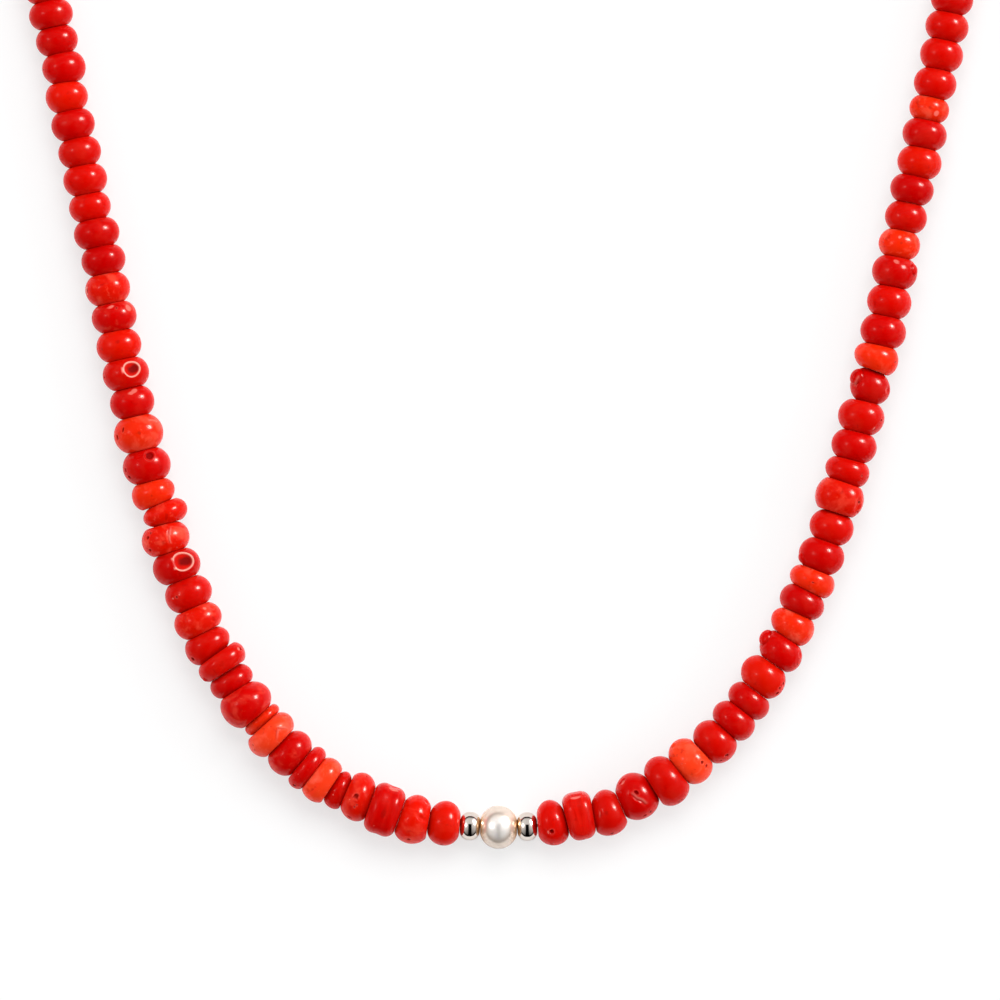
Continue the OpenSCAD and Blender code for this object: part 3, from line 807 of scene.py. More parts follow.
            places = self.carve(mark, spot, places, normals, tint)
        placed = self.thread_on(places, middle).reshape(-1, 3)
        shade, habit = np.ones((len(placed), 4)), np.ones((len(placed), 4))
        stronger = dice.uniform(1 - self.shade_spread, 1 + self.shade_spread)
        shade[:, :3] = np.array(bead.shade.value) * stronger
        habit[:, :2] = bead.cloudy, bead.streaky
        return {
            "places": placed,
            "faces": ring_faces(len(v), len(u)),
            "maps": ring_map(v, u, cell),
            "shade": shade,
            "habit": habit,
            "grain": grain.reshape(-1, 4),
            "tint": tint.reshape(-1, 4),
        }

    def carve(
        self, mark: Mark, spot: Spot, places: np.ndarray, normals: np.ndarray, tint: np.ndarray,
    ) -> np.ndarray:
        """Shapes and tints the bead round one mark.

        Args:
            mark: The mark.
            spot: Where it lies.
            places: Vertices before it.
            normals: Directions out of the bead.
            tint: Dark, pale and warm shares at each vertex, which it raises. The dark share is painted shade
                in holes, creases and round nubs, and also the cups' dark floors and darker spots; the pale
                share is painted highlight on the lips of holes and creases, and also pale patches and cup
                rims.

        Returns:
            The vertices after it.
        """
        how, size, thin = self.carving, mark.size, mark.thin or mark.size
        away = places - np.array(spot.middle)
        lean, turn = spot.angle, math.radians(mark.turn)
        along = self.hand * away[..., 0]
        across = away[..., 1] * math.cos(lean) - away[..., 2] * math.sin(lean)
        rise = away[..., 1] * math.sin(lean) + away[..., 2] * math.cos(lean)
        lengthwise = along * math.cos(turn) + across * math.sin(turn)
        sideways = across * math.cos(turn) - along * math.sin(turn)
        around = np.arctan2(across, along)
        twofold, threefold = np.sin(2 * around + self.seed), np.sin(3 * around + 2 * self.seed)
        wobble = 1 + how.lumps[0] * twofold + how.lumps[1] * threefold
        t = np.sqrt(lengthwise**2 + rise**2 + (sideways * size / thin) ** 2) / (size * wobble)
        bowl = clamp(1 - t**2)
        dark, pale, warm, depth = (np.zeros_like(t) for _ in range(4))
        match mark.kind:
            case Kind.PIT:
                depth = mark.deep * clamp(2 * bowl)
                # Painted shade down in the hole, and a painted highlight on its lip.
                dark = how.pit_painted_shade * clamp(how.pit_walls * bowl)
                pale = how.pit_painted_highlight * bell((t - how.pit_highlight_at) * size / how.pit_highlight_mm)
            case Kind.CUP:
                depth = mark.deep * np.sqrt(bowl)
                pale = how.cup_lip * bell((t - 1) * size / how.cup_lip_mm)
                warm = clamp(3 * bowl)
                off = np.hypot(along - how.cup_floor[0] * size, across - how.cup_floor[1] * size)
                dark = clamp(how.cup_dark - how.cup_fade * off / (size * wobble**4))
            case Kind.NUB:
                depth = -mark.deep * bowl**how.nub_round
                # Painted shade round the nub's foot.
                dark = how.nub_painted_shade * bell((t - 1) * size / how.nub_shade_mm)
            case Kind.DENT:
                depth = mark.deep * bowl**2
            case Kind.CREASE:
                past = np.clip(np.abs(lengthwise) - size, 0, None)
                ends = bell(np.hypot(past, rise * how.crease_ends) / thin)
                bend = how.crease_bend * mark.thin * np.sin(how.crease_waves * lengthwise + self.seed)
                off = (sideways - bend) / thin
                depth = mark.deep * ends * bell(off)
                # A painted highlight on the crease's lips, and painted shade along its groove.
                pale = how.crease_painted_highlight * ends * bell((off - how.crease_highlight_at) / how.crease_highlight_wide)
                dark = how.crease_painted_shade * ends * bell(off / how.crease_shade_wide)
            case Kind.CLOUD:
                pale = how.cloud_pale * clamp(2 * bowl)
            case Kind.SPOT:
                dark = how.spot_dark * clamp(2 * bowl)
        for k, much in enumerate((dark, pale, warm)):
            np.maximum(tint[..., k], much, out=tint[..., k])
        return places - normals * depth[..., None]

    def thread_on(self, places: np.ndarray, middle: float) -> np.ndarray:
        """Puts the bead on the thread, between the planes in which it meets its neighbours.

        Args:
            places: Vertices round its own middle.
            middle: Height of that middle above the surface.

        Returns:
            The vertices in the frame of the loop.
        """
        pitch = self.bead.pitch
        near, far = self.start, self.start + self.hand * pitch
        ends = [(near, self.tilts[0]), (far, self.tilts[1])]
        if self.hand < 0:
            ends.reverse()
        t = (1 + places[..., 0] / (pitch / 2) * (1 - self.gap / pitch)) / 2
        y = places[..., 1] + self.bead.shift
        flat = 0
        for (s, tilt), weight in zip(ends, (1 - t, t)):
            angle = self.route.heading(s) + math.radians(tilt)
            side = np.array([-math.sin(angle), math.cos(angle)])
            flat = flat + weight[..., None] * (self.route.place(s) + y[..., None] * side)
        return np.concatenate([flat, (places[..., 2] + middle)[..., None]], -1)


@dataclass
class CoralString:
    """The coral from a silver ball round to the clasp.

    Args:
        node: The string's node, left or right.
        beads: The charted beads.
        hand: 1 up the right side and -1 up the left.
        start: Where the first bead begins on the thread.
        route: The thread's line.
        plain_pitch: About the length of a plain bead past the photograph's edge.
        plain_wide: Its diameter.
        plain_shades: Its colours, in turn.
        clasp_half: Half the length of thread that the clasp takes up.
        group: Beads in one piece.
        seen_grid: Rings and columns of a charted bead.
        back_grid: Rings and columns of a plain one.
        map_edge: Share of a map's cell that stays free at each side.
    """

    node: str
    beads: tuple[Bead, ...]
    hand: int
    start: float
    route: Route
    plain_pitch: float = 3.9
    plain_wide: float = 6.2
    plain_shades: tuple[Shade, ...] = (RED, CRIMSON, RED, SCARLET)
    clasp_half: float = 6.45
    group: int = 9
    seen_grid: tuple[int, int] = (42, 56)
    back_grid: tuple[int, int] = (24, 36)
    map_edge: float = 0.03

    def filled(self) -> list[Bead]:
        """Adds plain beads to the charted ones, as far as the clasp.

        Returns:
            All the beads of the string, from the pearl.
        """
        clasp = self.route.at_point(CLASP_POINT)
        way = clasp if self.hand > 0 else self.route.length - clasp
        rest = way - self.clasp_half - abs(self.start) - sum(b.pitch for b in self.beads)
        count = round(rest / self.plain_pitch)
        shades = [self.plain_shades[(k * 7 + k // 3) % len(self.plain_shades)] for k in range(count)]
        return list(self.beads) + [Bead(rest / count, self.plain_wide, shade=shade) for shade in shades]

    def build(self, material: bpy.types.Material) -> None:
        """Makes the string as pieces of a few beads each.

        Args:
            material: The coral finish.
        """
        beads = self.filled()
        s, before = self.start, 0.0
        side = math.ceil(math.sqrt(self.group))
        for first in range(0, len(beads), self.group):
            piece = Surface(f"{self.node}_{first // self.group + 1}", "coral")
            for k, bead in enumerate(beads[first:first + self.group]):
                index = first + k
                seed = 1000 * (self.hand + 2) + index
                shape = BeadShape(bead, self.route, s, self.hand, (before, bead.tilt), seed)
                grid = self.seen_grid if index < len(self.beads) else self.back_grid
                piece.add(**shape.surface(map_cell(k, side, self.map_edge), *grid))
                s += self.hand * bead.pitch
                before = bead.tilt
            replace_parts(piece.build(material), self.node)


def mirrored(outline: Outline) -> Outline:
    """An outline's other half, beyond the middle of the piece."""
    return [(-x, r) for x, r in reversed(outline)]


@dataclass
class Turned:
    """A piece turned round the thread.

    Args:
        name: Name of the piece and of the node that it replaces.
        s: Its place on the thread.
        route: The thread's line.
        slot: Material slot of the record.
        high: Height of its axis above the surface.
        hole: Height of its hole's axis.
        hole_soft: Share of its thickness over which the hole's own height fades out.
        columns: Points round each ring.
        map_edge: Share of the map that stays free at each side.
    """

    name: str
    s: float
    route: Route
    slot: str = "silver"
    high: float = THREAD_HIGH
    hole: float = THREAD_HIGH
    hole_soft: float = 0.45
    columns: int = 96
    map_edge: float = 0.02

    def outline(self) -> Outline:
        """The section through it, which each kind of piece gives."""
        raise NotImplementedError

    def build(self, material: bpy.types.Material) -> None:
        """Makes the piece.

        Args:
            material: Its finish.
        """
        x, r = np.array(self.outline()).T
        u = np.linspace(0, FULL_TURN, self.columns, endpoint=False)
        hold = clamp((r - r.min()) / max(self.hole_soft * (r.max() - r.min()), 1e-6))[:, None]
        lift = (self.hole - self.high) * (1 - hold)
        y = r[:, None] * np.sin(u)[None, :]
        z = lift + r[:, None] * np.cos(u)[None, :]
        centre, a = self.route.place(self.s), self.route.heading(self.s)
        along = np.broadcast_to(x[:, None], y.shape)
        places = np.stack([
            centre[0] + along * math.cos(a) - y * math.sin(a),
            centre[1] + along * math.sin(a) + y * math.cos(a),
            z + self.high,
        ], -1).reshape(-1, 3)
        grain = np.stack([along, y, z, np.ones_like(y)], -1).reshape(-1, 4)
        piece = Surface(self.name, self.slot)
        cell = map_cell(0, 1, self.map_edge)
        piece.add(places, ring_faces(len(x), self.columns), ring_map(run_along(x, r), u, cell), grain=grain)
        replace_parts(piece.build(material), self.name)


@dataclass
class SilverBall(Turned):
    """A silver ball beside the pearl, with rounded ends and a straight side.

    Args:
        long: Length along the thread.
        wide: Diameter.
        edge: Radius of the rounded ends.
        lip: Chamfer of the hole.
    """

    high: float = 3.0
    hole: float = 3.0
    long: float = 2.82
    wide: float = 4.0
    edge: float = 1.3
    lip: float = 0.05

    def outline(self) -> Outline:
        """The section through it, from one end of its hole to the other.

        Returns:
            Distances along the thread and from it.
        """
        half, radius, edge = self.long / 2, self.wide / 2, self.edge
        ring = [
            (edge - half - edge * math.sin(t), radius - edge + edge * math.cos(t))
            for t in np.linspace(QUARTER_TURN, 0, 22)
        ]
        left = [(0.02 - half, BORE), (-half, BORE + self.lip)]
        left += [(x, r) for x, r in ring if r > BORE + 2 * self.lip]
        return left + mirrored(left)


@dataclass
class Pearl(Turned):
    """The pearl, with a flat at each drilled end.

    Args:
        long: Length along the thread.
        wide: Diameter.
        side: Radius of its round side.
        soft: Radius of the edge of each flat.
        lip: Chamfer of the hole.
    """

    slot: str = "pearl"
    high: float = 3.047
    long: float = 5.16
    wide: float = 6.094
    side: float = 2.64
    soft: float = 0.25
    lip: float = 0.05

    def outline(self) -> Outline:
        """The section through it, from one end of its hole to the other.

        Returns:
            Distances along the thread and from it.
        """
        half, core, soft = self.long / 2, self.wide / 2 - self.side, self.soft
        last = math.asin((half - soft) / (self.side - soft))
        turns = np.linspace(-last, last, 61)
        middle = [(self.side * math.sin(t), core + self.side * math.cos(t)) for t in turns]
        low = core + (self.side - soft) * math.cos(last)
        turns = np.linspace(last, QUARTER_TURN, 8)[1:]
        end = [(half - soft + soft * math.sin(t), low + soft * math.cos(t)) for t in turns]
        end += [(half, r) for r in np.linspace(low, BORE + self.lip, 5)[1:]] + [(half - self.lip, BORE)]
        return mirrored(end) + middle + end


@dataclass
class BarrelClasp(Turned):
    """The closed barrel clasp: two halves that meet in a groove, and a collar at each end.

    Args:
        barrel: Radius of the barrel.
        barrel_half: Half its length.
        edge: Radius of its rounded ends.
        collar: Radius of the collars.
        half: Half the length over both collars.
        soft: Radius of a collar's edge.
        bore: Radius of the hole.
        groove: Depth of the groove.
        groove_half: Half its width.
        fillet: Length of the corner between barrel and collar.
        bevel: Size of the small chamfers.
        sharp: Size of the smallest ones.
    """

    barrel: float = 2.797
    barrel_half: float = 4.8
    edge: float = 1.6
    collar: float = 1.6
    half: float = 6.2
    soft: float = 0.12
    bore: float = 0.8
    groove: float = 0.35
    groove_half: float = 0.27
    fillet: float = 0.05
    bevel: float = 0.06
    sharp: float = 0.02

    def outline(self) -> Outline:
        """The section through it, from one end of its hole to the other.

        Returns:
            Distances along the thread and from it.
        """
        barrel, collar, seam, half, soft = self.barrel, self.collar, self.groove_half, self.half, self.soft
        bottom, straight = barrel - self.groove, self.barrel_half - self.edge
        turns = np.linspace(QUARTER_TURN, 0, 14)
        ring = [(straight + self.edge * math.cos(t), barrel - self.edge * (1 - math.sin(t))) for t in turns]
        right = [(seam - self.sharp, bottom), (seam, bottom + self.sharp), (seam, barrel - self.bevel)]
        right += [(seam + self.bevel, barrel), (straight - 2 * self.fillet, barrel)]
        right += [(x, r) for x, r in ring if r > collar]
        right += [(self.barrel_half - self.sharp, collar + self.bevel)]
        right += [(self.barrel_half + self.fillet, collar)]
        right += [(half - soft, collar), (half - soft / 4, collar - soft / 3), (half, collar - soft)]
        right += [(half, self.bore + self.bevel), (half - self.bevel, self.bore)]
        return mirrored(right) + [(0.0, bottom)] + right


class Nodes:
    """Short calls for making a node tree. A value is a socket to link, or a constant."""

    def __init__(self, tree: bpy.types.NodeTree) -> None:
        """Empties the tree and keeps it."""
        tree.nodes.clear()
        self.tree = tree

    def add(self, kind: str, settings: dict | None = None, **values: object) -> bpy.types.Node:
        """Adds a node.

        Args:
            kind: Blender's name of its type.
            settings: Properties of the node.
            values: Inputs, by name with _ for a space.

        Returns:
            The node.
        """
        node = self.tree.nodes.new(kind)
        for key, value in (settings or {}).items():
            setattr(node, key, value)
        for key, value in values.items():
            self.put(node.inputs[key.replace("_", " ")], value)
        return node

    def put(self, socket: Socket, value: object) -> None:
        """Fills an input.

        Args:
            socket: The input.
            value: What goes into it.
        """
        if isinstance(value, Socket):
            self.tree.links.new(value, socket)
        else:
            socket.default_value = value

    def fill(self, node: bpy.types.Node, values: tuple[object, ...], first: int = 0) -> bpy.types.Node:
        """Fills a node's inputs in order.

        Args:
            node: The node.
            values: What goes into them.
            first: Number of the input that gets the first value.

        Returns:
            The node.
        """
        for socket, value in zip(node.inputs[first:], values):
            self.put(socket, value)
        return node

    def maths(self, operation: str, *values: object) -> Socket:
        """A Math node's result."""
        return self.fill(self.add("ShaderNodeMath", {"operation": operation}), values).outputs[0]

    def times(self, value: object, *more: object) -> Socket:
        """Multiplies values.

        Args:
            value: The first.
            more: The others.

        Returns:
            Their product.
        """
        for factor in more:
            value = self.maths("MULTIPLY", value, factor)
        return value

    def plus(self, value: object, *more: object) -> Socket:
        """Adds values up.

        Args:
            value: The first.
            more: The others.

        Returns:
            Their sum.
        """
        for part in more:
            value = self.maths("ADD", value, part)
        return value

    def unsigned(self, value: object) -> Socket:
        """A value without its sign."""
        return self.maths("ABSOLUTE", value)

    def vector(self, operation: str, *values: object) -> bpy.types.Node:
        """A Vector Math node."""
        return self.fill(self.add("ShaderNodeVectorMath", {"operation": operation}), values)

    def mix(self, share: object, first: object, second: object) -> Socket:
        """The mix of two colours.

        Args:
            share: How much of the second, from 0 to 1.
            first: One colour.
            second: The other.

        Returns:
            The mixed colour.
        """
        node = self.add("ShaderNodeMix", {"data_type": "RGBA"})
        self.put(node.inputs[0], share)
        return self.fill(node, (first, second), 6).outputs[2]

    def ramp(self, value: object, ends: tuple[float, float], smooth: bool = True) -> Socket:
        """A value stretched so that a range of it becomes 0 to 1.

        Args:
            value: The value.
            ends: Where the result is 0 and where it is 1.
            smooth: True for a soft start and end.

        Returns:
            The stretched value, from 0 to 1.
        """
        node = self.add("ShaderNodeMapRange", {"interpolation_type": "SMOOTHSTEP" if smooth else "LINEAR"})
        return self.fill(node, (value, *ends)).outputs[0]

    def attribute(self, name: str) -> bpy.types.Node:
        """What the mesh holds at each vertex under a name."""
        return self.add("ShaderNodeAttribute", {"attribute_name": name})

    def flank(self) -> Socket:
        """How far the surface turns away from straight up or down, from 0 to 1 on the flanks."""
        slope = self.add("ShaderNodeSeparateXYZ", Vector=self.add("ShaderNodeTexCoord").outputs["Normal"])
        return self.maths("SUBTRACT", 1.0, self.unsigned(slope.outputs[2]))

    def finish(self, shader: bpy.types.Node, kind: str = "ShaderNodeOutputMaterial") -> None:
        """Leads a shader to the tree's output."""
        self.put(self.add(kind).inputs["Surface"], shader.outputs[0])


def new_material(name: str) -> tuple[bpy.types.Material, Nodes]:
    """Makes an empty material.

    Args:
        name: Its name.

    Returns:
        The material and the maker of its nodes.
    """
    made = bpy.data.materials.new(name)
    made.use_nodes = True
    return made, Nodes(made.node_tree)


def cloud_group() -> bpy.types.NodeTree:
    """The shared effect of soft clouds in stone, nacre and metal: a mask and a height.

    Returns:
        A group with inputs Vector, Scale, Low and High and outputs Mask and Height.
    """
    tree = bpy.data.node_groups.new("soft_clouds", "ShaderNodeTree")
    make = Nodes(tree)
    face = tree.interface
    face.new_socket("Vector", in_out="INPUT", socket_type="NodeSocketVector")
    for name, value in (("Scale", 1.0), ("Low", 0.4), ("High", 0.7)):
        face.new_socket(name, in_out="INPUT", socket_type="NodeSocketFloat").default_value = value
    for name in ("Mask", "Height"):
        face.new_socket(name, in_out="OUTPUT", socket_type="NodeSocketFloat")
    given = make.add("NodeGroupInput").outputs
    noise = make.add(
        "ShaderNodeTexNoise", Vector=given["Vector"], Scale=given["Scale"],
        Detail=3.0, Roughness=0.55, Distortion=0.4,
    )
    mask = make.ramp(noise.outputs[0], (given["Low"], given["High"]))
    make.add("NodeGroupOutput", Mask=mask, Height=noise.outputs[0])
    return tree


@dataclass(frozen=True)
class Clouds:
    """One use of the shared clouds.

    Args:
        scale: How many there are to a millimetre, about.
        low: Noise at which a cloud starts.
        high: Noise at which it is full.
    """

    scale: float
    low: float
    high: float

    def over(self, make: Nodes, group: bpy.types.NodeTree, where: Socket) -> bpy.types.NodeOutputs:
        """Puts the group in a material.

        Args:
            make: The material's node maker.
            group: The cloud group.
            where: Coordinates on the piece, in millimetres.

        Returns:
            Its outputs, Mask and Height.
        """
        return make.add(
            "ShaderNodeGroup", {"node_tree": group},
            Vector=where, Scale=self.scale, Low=self.low, High=self.high,
        ).outputs


@dataclass(frozen=True)
class CoralFinish:
    """Polished coral: each bead's own red, with pale clouds, streaks, dark worm holes and pale rims.

    The dark worm holes, creases and nub feet are painted shade, the pale lips of holes and creases painted
    highlights, and the lighter flanks painted light coming through. What lights the things round it is
    duller than what is seen, as under a studio's white cards.

    Args:
        roughness: Roughness of the polished stone.
        worn: How much rougher it is in holes.
        rim_worn: Share of that at their pale rims.
        shine: Specular level.
        straight: Tint of what it mirrors.
        dull: The same in holes.
        lighter: Colour of the clouds.
        deep: Colour of the darker specks.
        warm: Colour of the cups.
        hollow: Colour of the dark share: painted shade in worm holes, along creases and round nubs, and the
            cups' dark floors and darker spots.
        pale: Colour of the pale share: pale patches and cup rims, and painted highlights on the lips of worm
            holes and creases.
        thin: Colour of the streaks, and of the painted light that glows through the flanks.
        bounced: Colour of the light that it throws on things near it.
        big: The large clouds.
        small: The small clouds.
        specks: The darker specks.
        lines: The streaks, before they are drawn out.
        drawn: How they are drawn out along the thread and across it.
        big_share: How strongly the large clouds show.
        small_share: How strongly the small clouds show.
        line_share: How strongly the streaks show.
        speck_share: How strongly the specks show.
        painted_shade_and_spot_share: How strongly the dark share shows.
        pale_and_highlight_share: How strongly the pale share shows.
        painted_flank_glow_share: How strongly the painted light through the flanks shows.
        flank: Where that painted light starts and where it is full.
    """

    roughness: float = 0.2
    worn: float = 0.45
    rim_worn: float = 0.6
    shine: float = 0.14
    straight: Colour = (0.38, 0.36, 0.33, 1)
    dull: Colour = (0.03, 0.02, 0.02, 1)
    lighter: Colour = (0.93, 0.12, 0.065, 1)
    deep: Colour = (0.36, 0.0, 0.0, 1)
    warm: Colour = (0.55, 0.003, 0.0, 1)
    hollow: Colour = (0.17, 0.0, 0.0, 1)
    pale: Colour = (0.95, 0.44, 0.35, 1)
    thin: Colour = (0.95, 0.02, 0.01, 1)
    bounced: Colour = (0.42, 0.03, 0.03, 1)
    big: Clouds = Clouds(0.42, 0.48, 0.68)
    small: Clouds = Clouds(1.3, 0.56, 0.74)
    specks: Clouds = Clouds(0.9, 0.60, 0.75)
    lines: Clouds = Clouds(1.3, 0.45, 0.7)
    drawn: Point = (1.5, 0.12, 0.12)
    big_share: float = 0.75
    small_share: float = 0.55
    line_share: float = 0.9
    speck_share: float = 0.45
    painted_shade_and_spot_share: float = 0.9
    pale_and_highlight_share: float = 0.85
    painted_flank_glow_share: float = 0.25
    flank: tuple[float, float] = (0.3, 0.85)

    def material(self, clouds: bpy.types.NodeTree) -> bpy.types.Material:
        """Makes the material.

        Args:
            clouds: The shared cloud group.

        Returns:
            The material.
        """
        made, make = new_material("coral")
        colour = make.attribute("shade").outputs["Color"]
        grain = make.attribute("grain").outputs["Vector"]
        habit = make.add("ShaderNodeSeparateColor", Color=make.attribute("habit").outputs["Color"])
        tint = make.add("ShaderNodeSeparateColor", Color=make.attribute("tint").outputs["Color"])
        cloudy, streaky = habit.outputs[0], habit.outputs[1]
        dark, pale, warm = tint.outputs
        drawn = make.vector("MULTIPLY", grain, self.drawn).outputs["Vector"]
        big, small, specks = (
            kind.over(make, clouds, grain) for kind in (self.big, self.small, self.specks)
        )
        lines = self.lines.over(make, clouds, drawn)
        for share, layer in (
            (make.times(big["Mask"], cloudy, self.big_share), self.lighter),
            (make.times(small["Mask"], cloudy, self.small_share), self.lighter),
            (make.times(lines["Mask"], streaky, self.line_share), self.thin),
            (make.times(specks["Mask"], self.speck_share), self.deep),
            (warm, self.warm),
            # Painted shade in holes, creases and round nubs, with the cups' dark floors and darker spots.
            (make.times(dark, self.painted_shade_and_spot_share), self.hollow),
            # Painted highlights on the lips of holes and creases, with pale patches and cup rims.
            (make.times(pale, self.pale_and_highlight_share), self.pale),
            # Painted light through the flanks: lighter red where the surface turns away from straight up.
            (make.times(make.ramp(make.flank(), self.flank), self.painted_flank_glow_share), self.thin),
            (make.add("ShaderNodeLightPath").outputs["Is Diffuse Ray"], self.bounced),
        ):
            colour = make.mix(share, colour, layer)
        bump = make.add("ShaderNodeBump", Strength=0.4, Distance=0.00001, Height=small["Height"])
        hurt = make.maths("MAXIMUM", make.maths("MAXIMUM", dark, warm), make.times(pale, self.rim_worn))
        make.finish(make.add(
            "ShaderNodeBsdfPrincipled", Base_Color=colour, IOR=1.5,
            Roughness=make.plus(self.roughness, make.times(hurt, self.worn)),
            Specular_IOR_Level=self.shine, Specular_Tint=make.mix(hurt, self.straight, self.dull),
            Subsurface_Weight=0.2, Subsurface_Radius=(1.0, 0.06, 0.04), Subsurface_Scale=0.0006,
            Normal=bump.outputs[0],
        ))
        return made


@dataclass(frozen=True)
class NacreFinish:
    """White nacre with a peach overtone, stronger near the drilled ends.

    Args:
        body: Colour of its top.
        edge: Colour of its flanks, painted shade and sheen that make them darker and warmer than its top.
        peach: Overtone towards the drilled ends.
        painted_end_shade: Colour of the painted shade at the very ends, where the pearl meets the silver
            balls.
        metal: How metallic its lustre is.
        roughness: Roughness of the skin.
        cloud: The clouds in the peach.
        peach_share: How strongly they change it, and how strong it is without them.
        flank: Where that painted shade and sheen on the flanks starts and where it is full.
        peach_from: Distances from the middle at which the peach starts and is full, in millimetres.
        end_shade_from: The same of that painted shade.
        end_shade_share: How strongly that painted shade shows.
    """

    body: Colour = (0.88, 0.83, 0.79, 1)
    edge: Colour = (0.74, 0.63, 0.54, 1)
    peach: Colour = (0.78, 0.48, 0.28, 1)
    painted_end_shade: Colour = (0.50, 0.22, 0.05, 1)
    metal: float = 0.5
    roughness: float = 0.22
    cloud: Clouds = Clouds(0.5, 0.4, 0.7)
    peach_share: tuple[float, float] = (0.3, 0.6)
    flank: tuple[float, float] = (0.04, 0.26)
    peach_from: tuple[float, float] = (1.4, 2.5)
    end_shade_from: tuple[float, float] = (2.1, 2.5)
    end_shade_share: float = 0.8

    def material(self, clouds: bpy.types.NodeTree) -> bpy.types.Material:
        """Makes the material.

        Args:
            clouds: The shared cloud group.

        Returns:
            The material.
        """
        made, make = new_material("pearl")
        grain = make.attribute("grain").outputs["Vector"]
        along = make.unsigned(make.add("ShaderNodeSeparateXYZ", Vector=grain).outputs[0])
        cloud = self.cloud.over(make, clouds, grain)
        uneven = make.maths("MULTIPLY_ADD", cloud["Mask"], *self.peach_share)
        # Painted shade and sheen: the flanks darker and warmer than the top.
        colour = make.mix(make.ramp(make.flank(), self.flank), self.body, self.edge)
        colour = make.mix(make.times(make.ramp(along, self.peach_from), uneven), colour, self.peach)
        # Painted shade at the very ends, where the pearl meets the silver balls.
        colour = make.mix(make.times(make.ramp(along, self.end_shade_from), self.end_shade_share), colour, self.painted_end_shade)
        make.finish(make.add(
            "ShaderNodeBsdfPrincipled", Base_Color=colour, Roughness=self.roughness, Metallic=self.metal,
            IOR=1.6, Subsurface_Weight=0.2, Subsurface_Radius=(1.0, 0.8, 0.6), Subsurface_Scale=0.0010,
        ))
        return made


@dataclass(frozen=True)
class SilverFinish:
    """Polished silver with faint tarnish and fine scratches.

    Args:
        bright: Colour of the clean metal.
        dull: Colour of the tarnish.
        tarnish: Its clouds.
        tarnish_share: How strongly they show.
        roughness: Roughness of the clean metal.
        scratches: Where it is rougher.
        scratched: How much rougher it is there.
    """

    bright: Colour = (0.74, 0.67, 0.61, 1)
    dull: Colour = (0.60, 0.51, 0.43, 1)
    tarnish: Clouds = Clouds(0.9, 0.5, 0.8)
    tarnish_share: float = 0.3
    roughness: float = 0.07
    scratches: Clouds = Clouds(6.0, 0.4, 0.8)
    scratched: float = 0.05

    def material(self, clouds: bpy.types.NodeTree) -> bpy.types.Material:
        """Makes the material.

        Args:
            clouds: The shared cloud group.

        Returns:
            The material.
        """
        made, make = new_material("silver")
        grain = make.attribute("grain").outputs["Vector"]
        tarnish = self.tarnish.over(make, clouds, grain)["Mask"]
        scratches = self.scratches.over(make, clouds, grain)["Mask"]
        make.finish(make.add(
            "ShaderNodeBsdfPrincipled", Metallic=1.0,
            Base_Color=make.mix(make.times(tarnish, self.tarnish_share), self.bright, self.dull),
            Roughness=make.plus(self.roughness, make.times(scratches, self.scratched)),
        ))
        return made


@dataclass(frozen=True)
class ThreadFinish:
    """Plain twisted thread.

    Args:
        light: Colour of the fibres on top.
        dark: Colour between them, painted shade in the grooves of the twist.
        twist: How closely it is twisted, as the scale of the waves.
        roughness: Roughness of the fibres.
    """

    light: Colour = (0.78, 0.72, 0.64, 1)
    dark: Colour = (0.45, 0.38, 0.30, 1)
    twist: float = 900.0
    roughness: float = 0.8

    def material(self) -> bpy.types.Material:
        """Makes the material.

        Returns:
            The material.
        """
        made, make = new_material("thread")
        where = make.add("ShaderNodeTexCoord").outputs["Object"]
        look = {"bands_direction": "DIAGONAL"}
        # The wave bands paint shade between the fibres, darker in the twist's grooves.
        wave = make.add("ShaderNodeTexWave", look, Vector=where, Scale=self.twist, Distortion=1.0).outputs[1]
        bump = make.add("ShaderNodeBump", Strength=0.6, Distance=0.0001, Height=wave)
        make.finish(make.add(
            "ShaderNodeBsdfPrincipled", Base_Color=make.mix(wave, self.dark, self.light),
            Roughness=self.roughness, Normal=bump.outputs[0],
        ))
        return made


@dataclass(frozen=True)
class Glow:
    """A small bright lamp of the studio as the polished surfaces see it.

    Args:
        towards: Direction of its middle.
        core: Half angle of its full brightness, in degrees.
        fade: Half angle at which it ends, in degrees.
        bright: Its radiance, where the floor's is about 1.
        tall: How many times taller than wide it is.
    """

    towards: Point
    core: float
    fade: float
    bright: float
    tall: float = 1.0

    def light(self, make: Nodes, way: Socket) -> Socket:
        """How much light comes from the lamp in a direction.

        Args:
            make: The world's node maker.
            way: The direction.

        Returns:
            Its radiance there.
        """
        middle = Vector(self.towards).normalized()
        side = Vector((0, 1, 0)).cross(middle).normalized()
        away = make.vector("SUBTRACT", way, middle).outputs["Vector"]
        parts = [
            make.vector("DOT_PRODUCT", away, axis).outputs["Value"]
            for axis in (side, middle.cross(side) / self.tall, middle)
        ]
        apart = make.maths("SQRT", make.plus(*(make.maths("POWER", part, 2.0) for part in parts)))
        return make.times(make.ramp(apart, (math.radians(self.fade), math.radians(self.core))), self.bright)


@dataclass(frozen=True)
class FarLamp:
    """A far round lamp, which either only gives highlights or only lights rough surfaces.

    Args:
        name: Its name.
        towards: Direction of its middle.
        wide: How wide it looks, in degrees.
        bright: Its radiance, where the floor's is about 1.
        mirrored: True for one that gives highlights.
    """

    name: str
    towards: Point
    wide: float
    bright: float
    mirrored: bool = True

    def hang(self) -> None:
        """Puts it in the scene."""
        data = bpy.data.lights.new(self.name, "SUN")
        data.angle = math.radians(self.wide)
        data.energy = self.bright * math.pi * math.sin(data.angle / 2) ** 2
        lamp = put_in_scene(self.name, data)
        lamp.rotation_euler = Vector(self.towards).to_track_quat("Z", "Y").to_euler()
        lamp.visible_diffuse = not self.mirrored
        lamp.visible_glossy = self.mirrored
        lamp.visible_camera = False


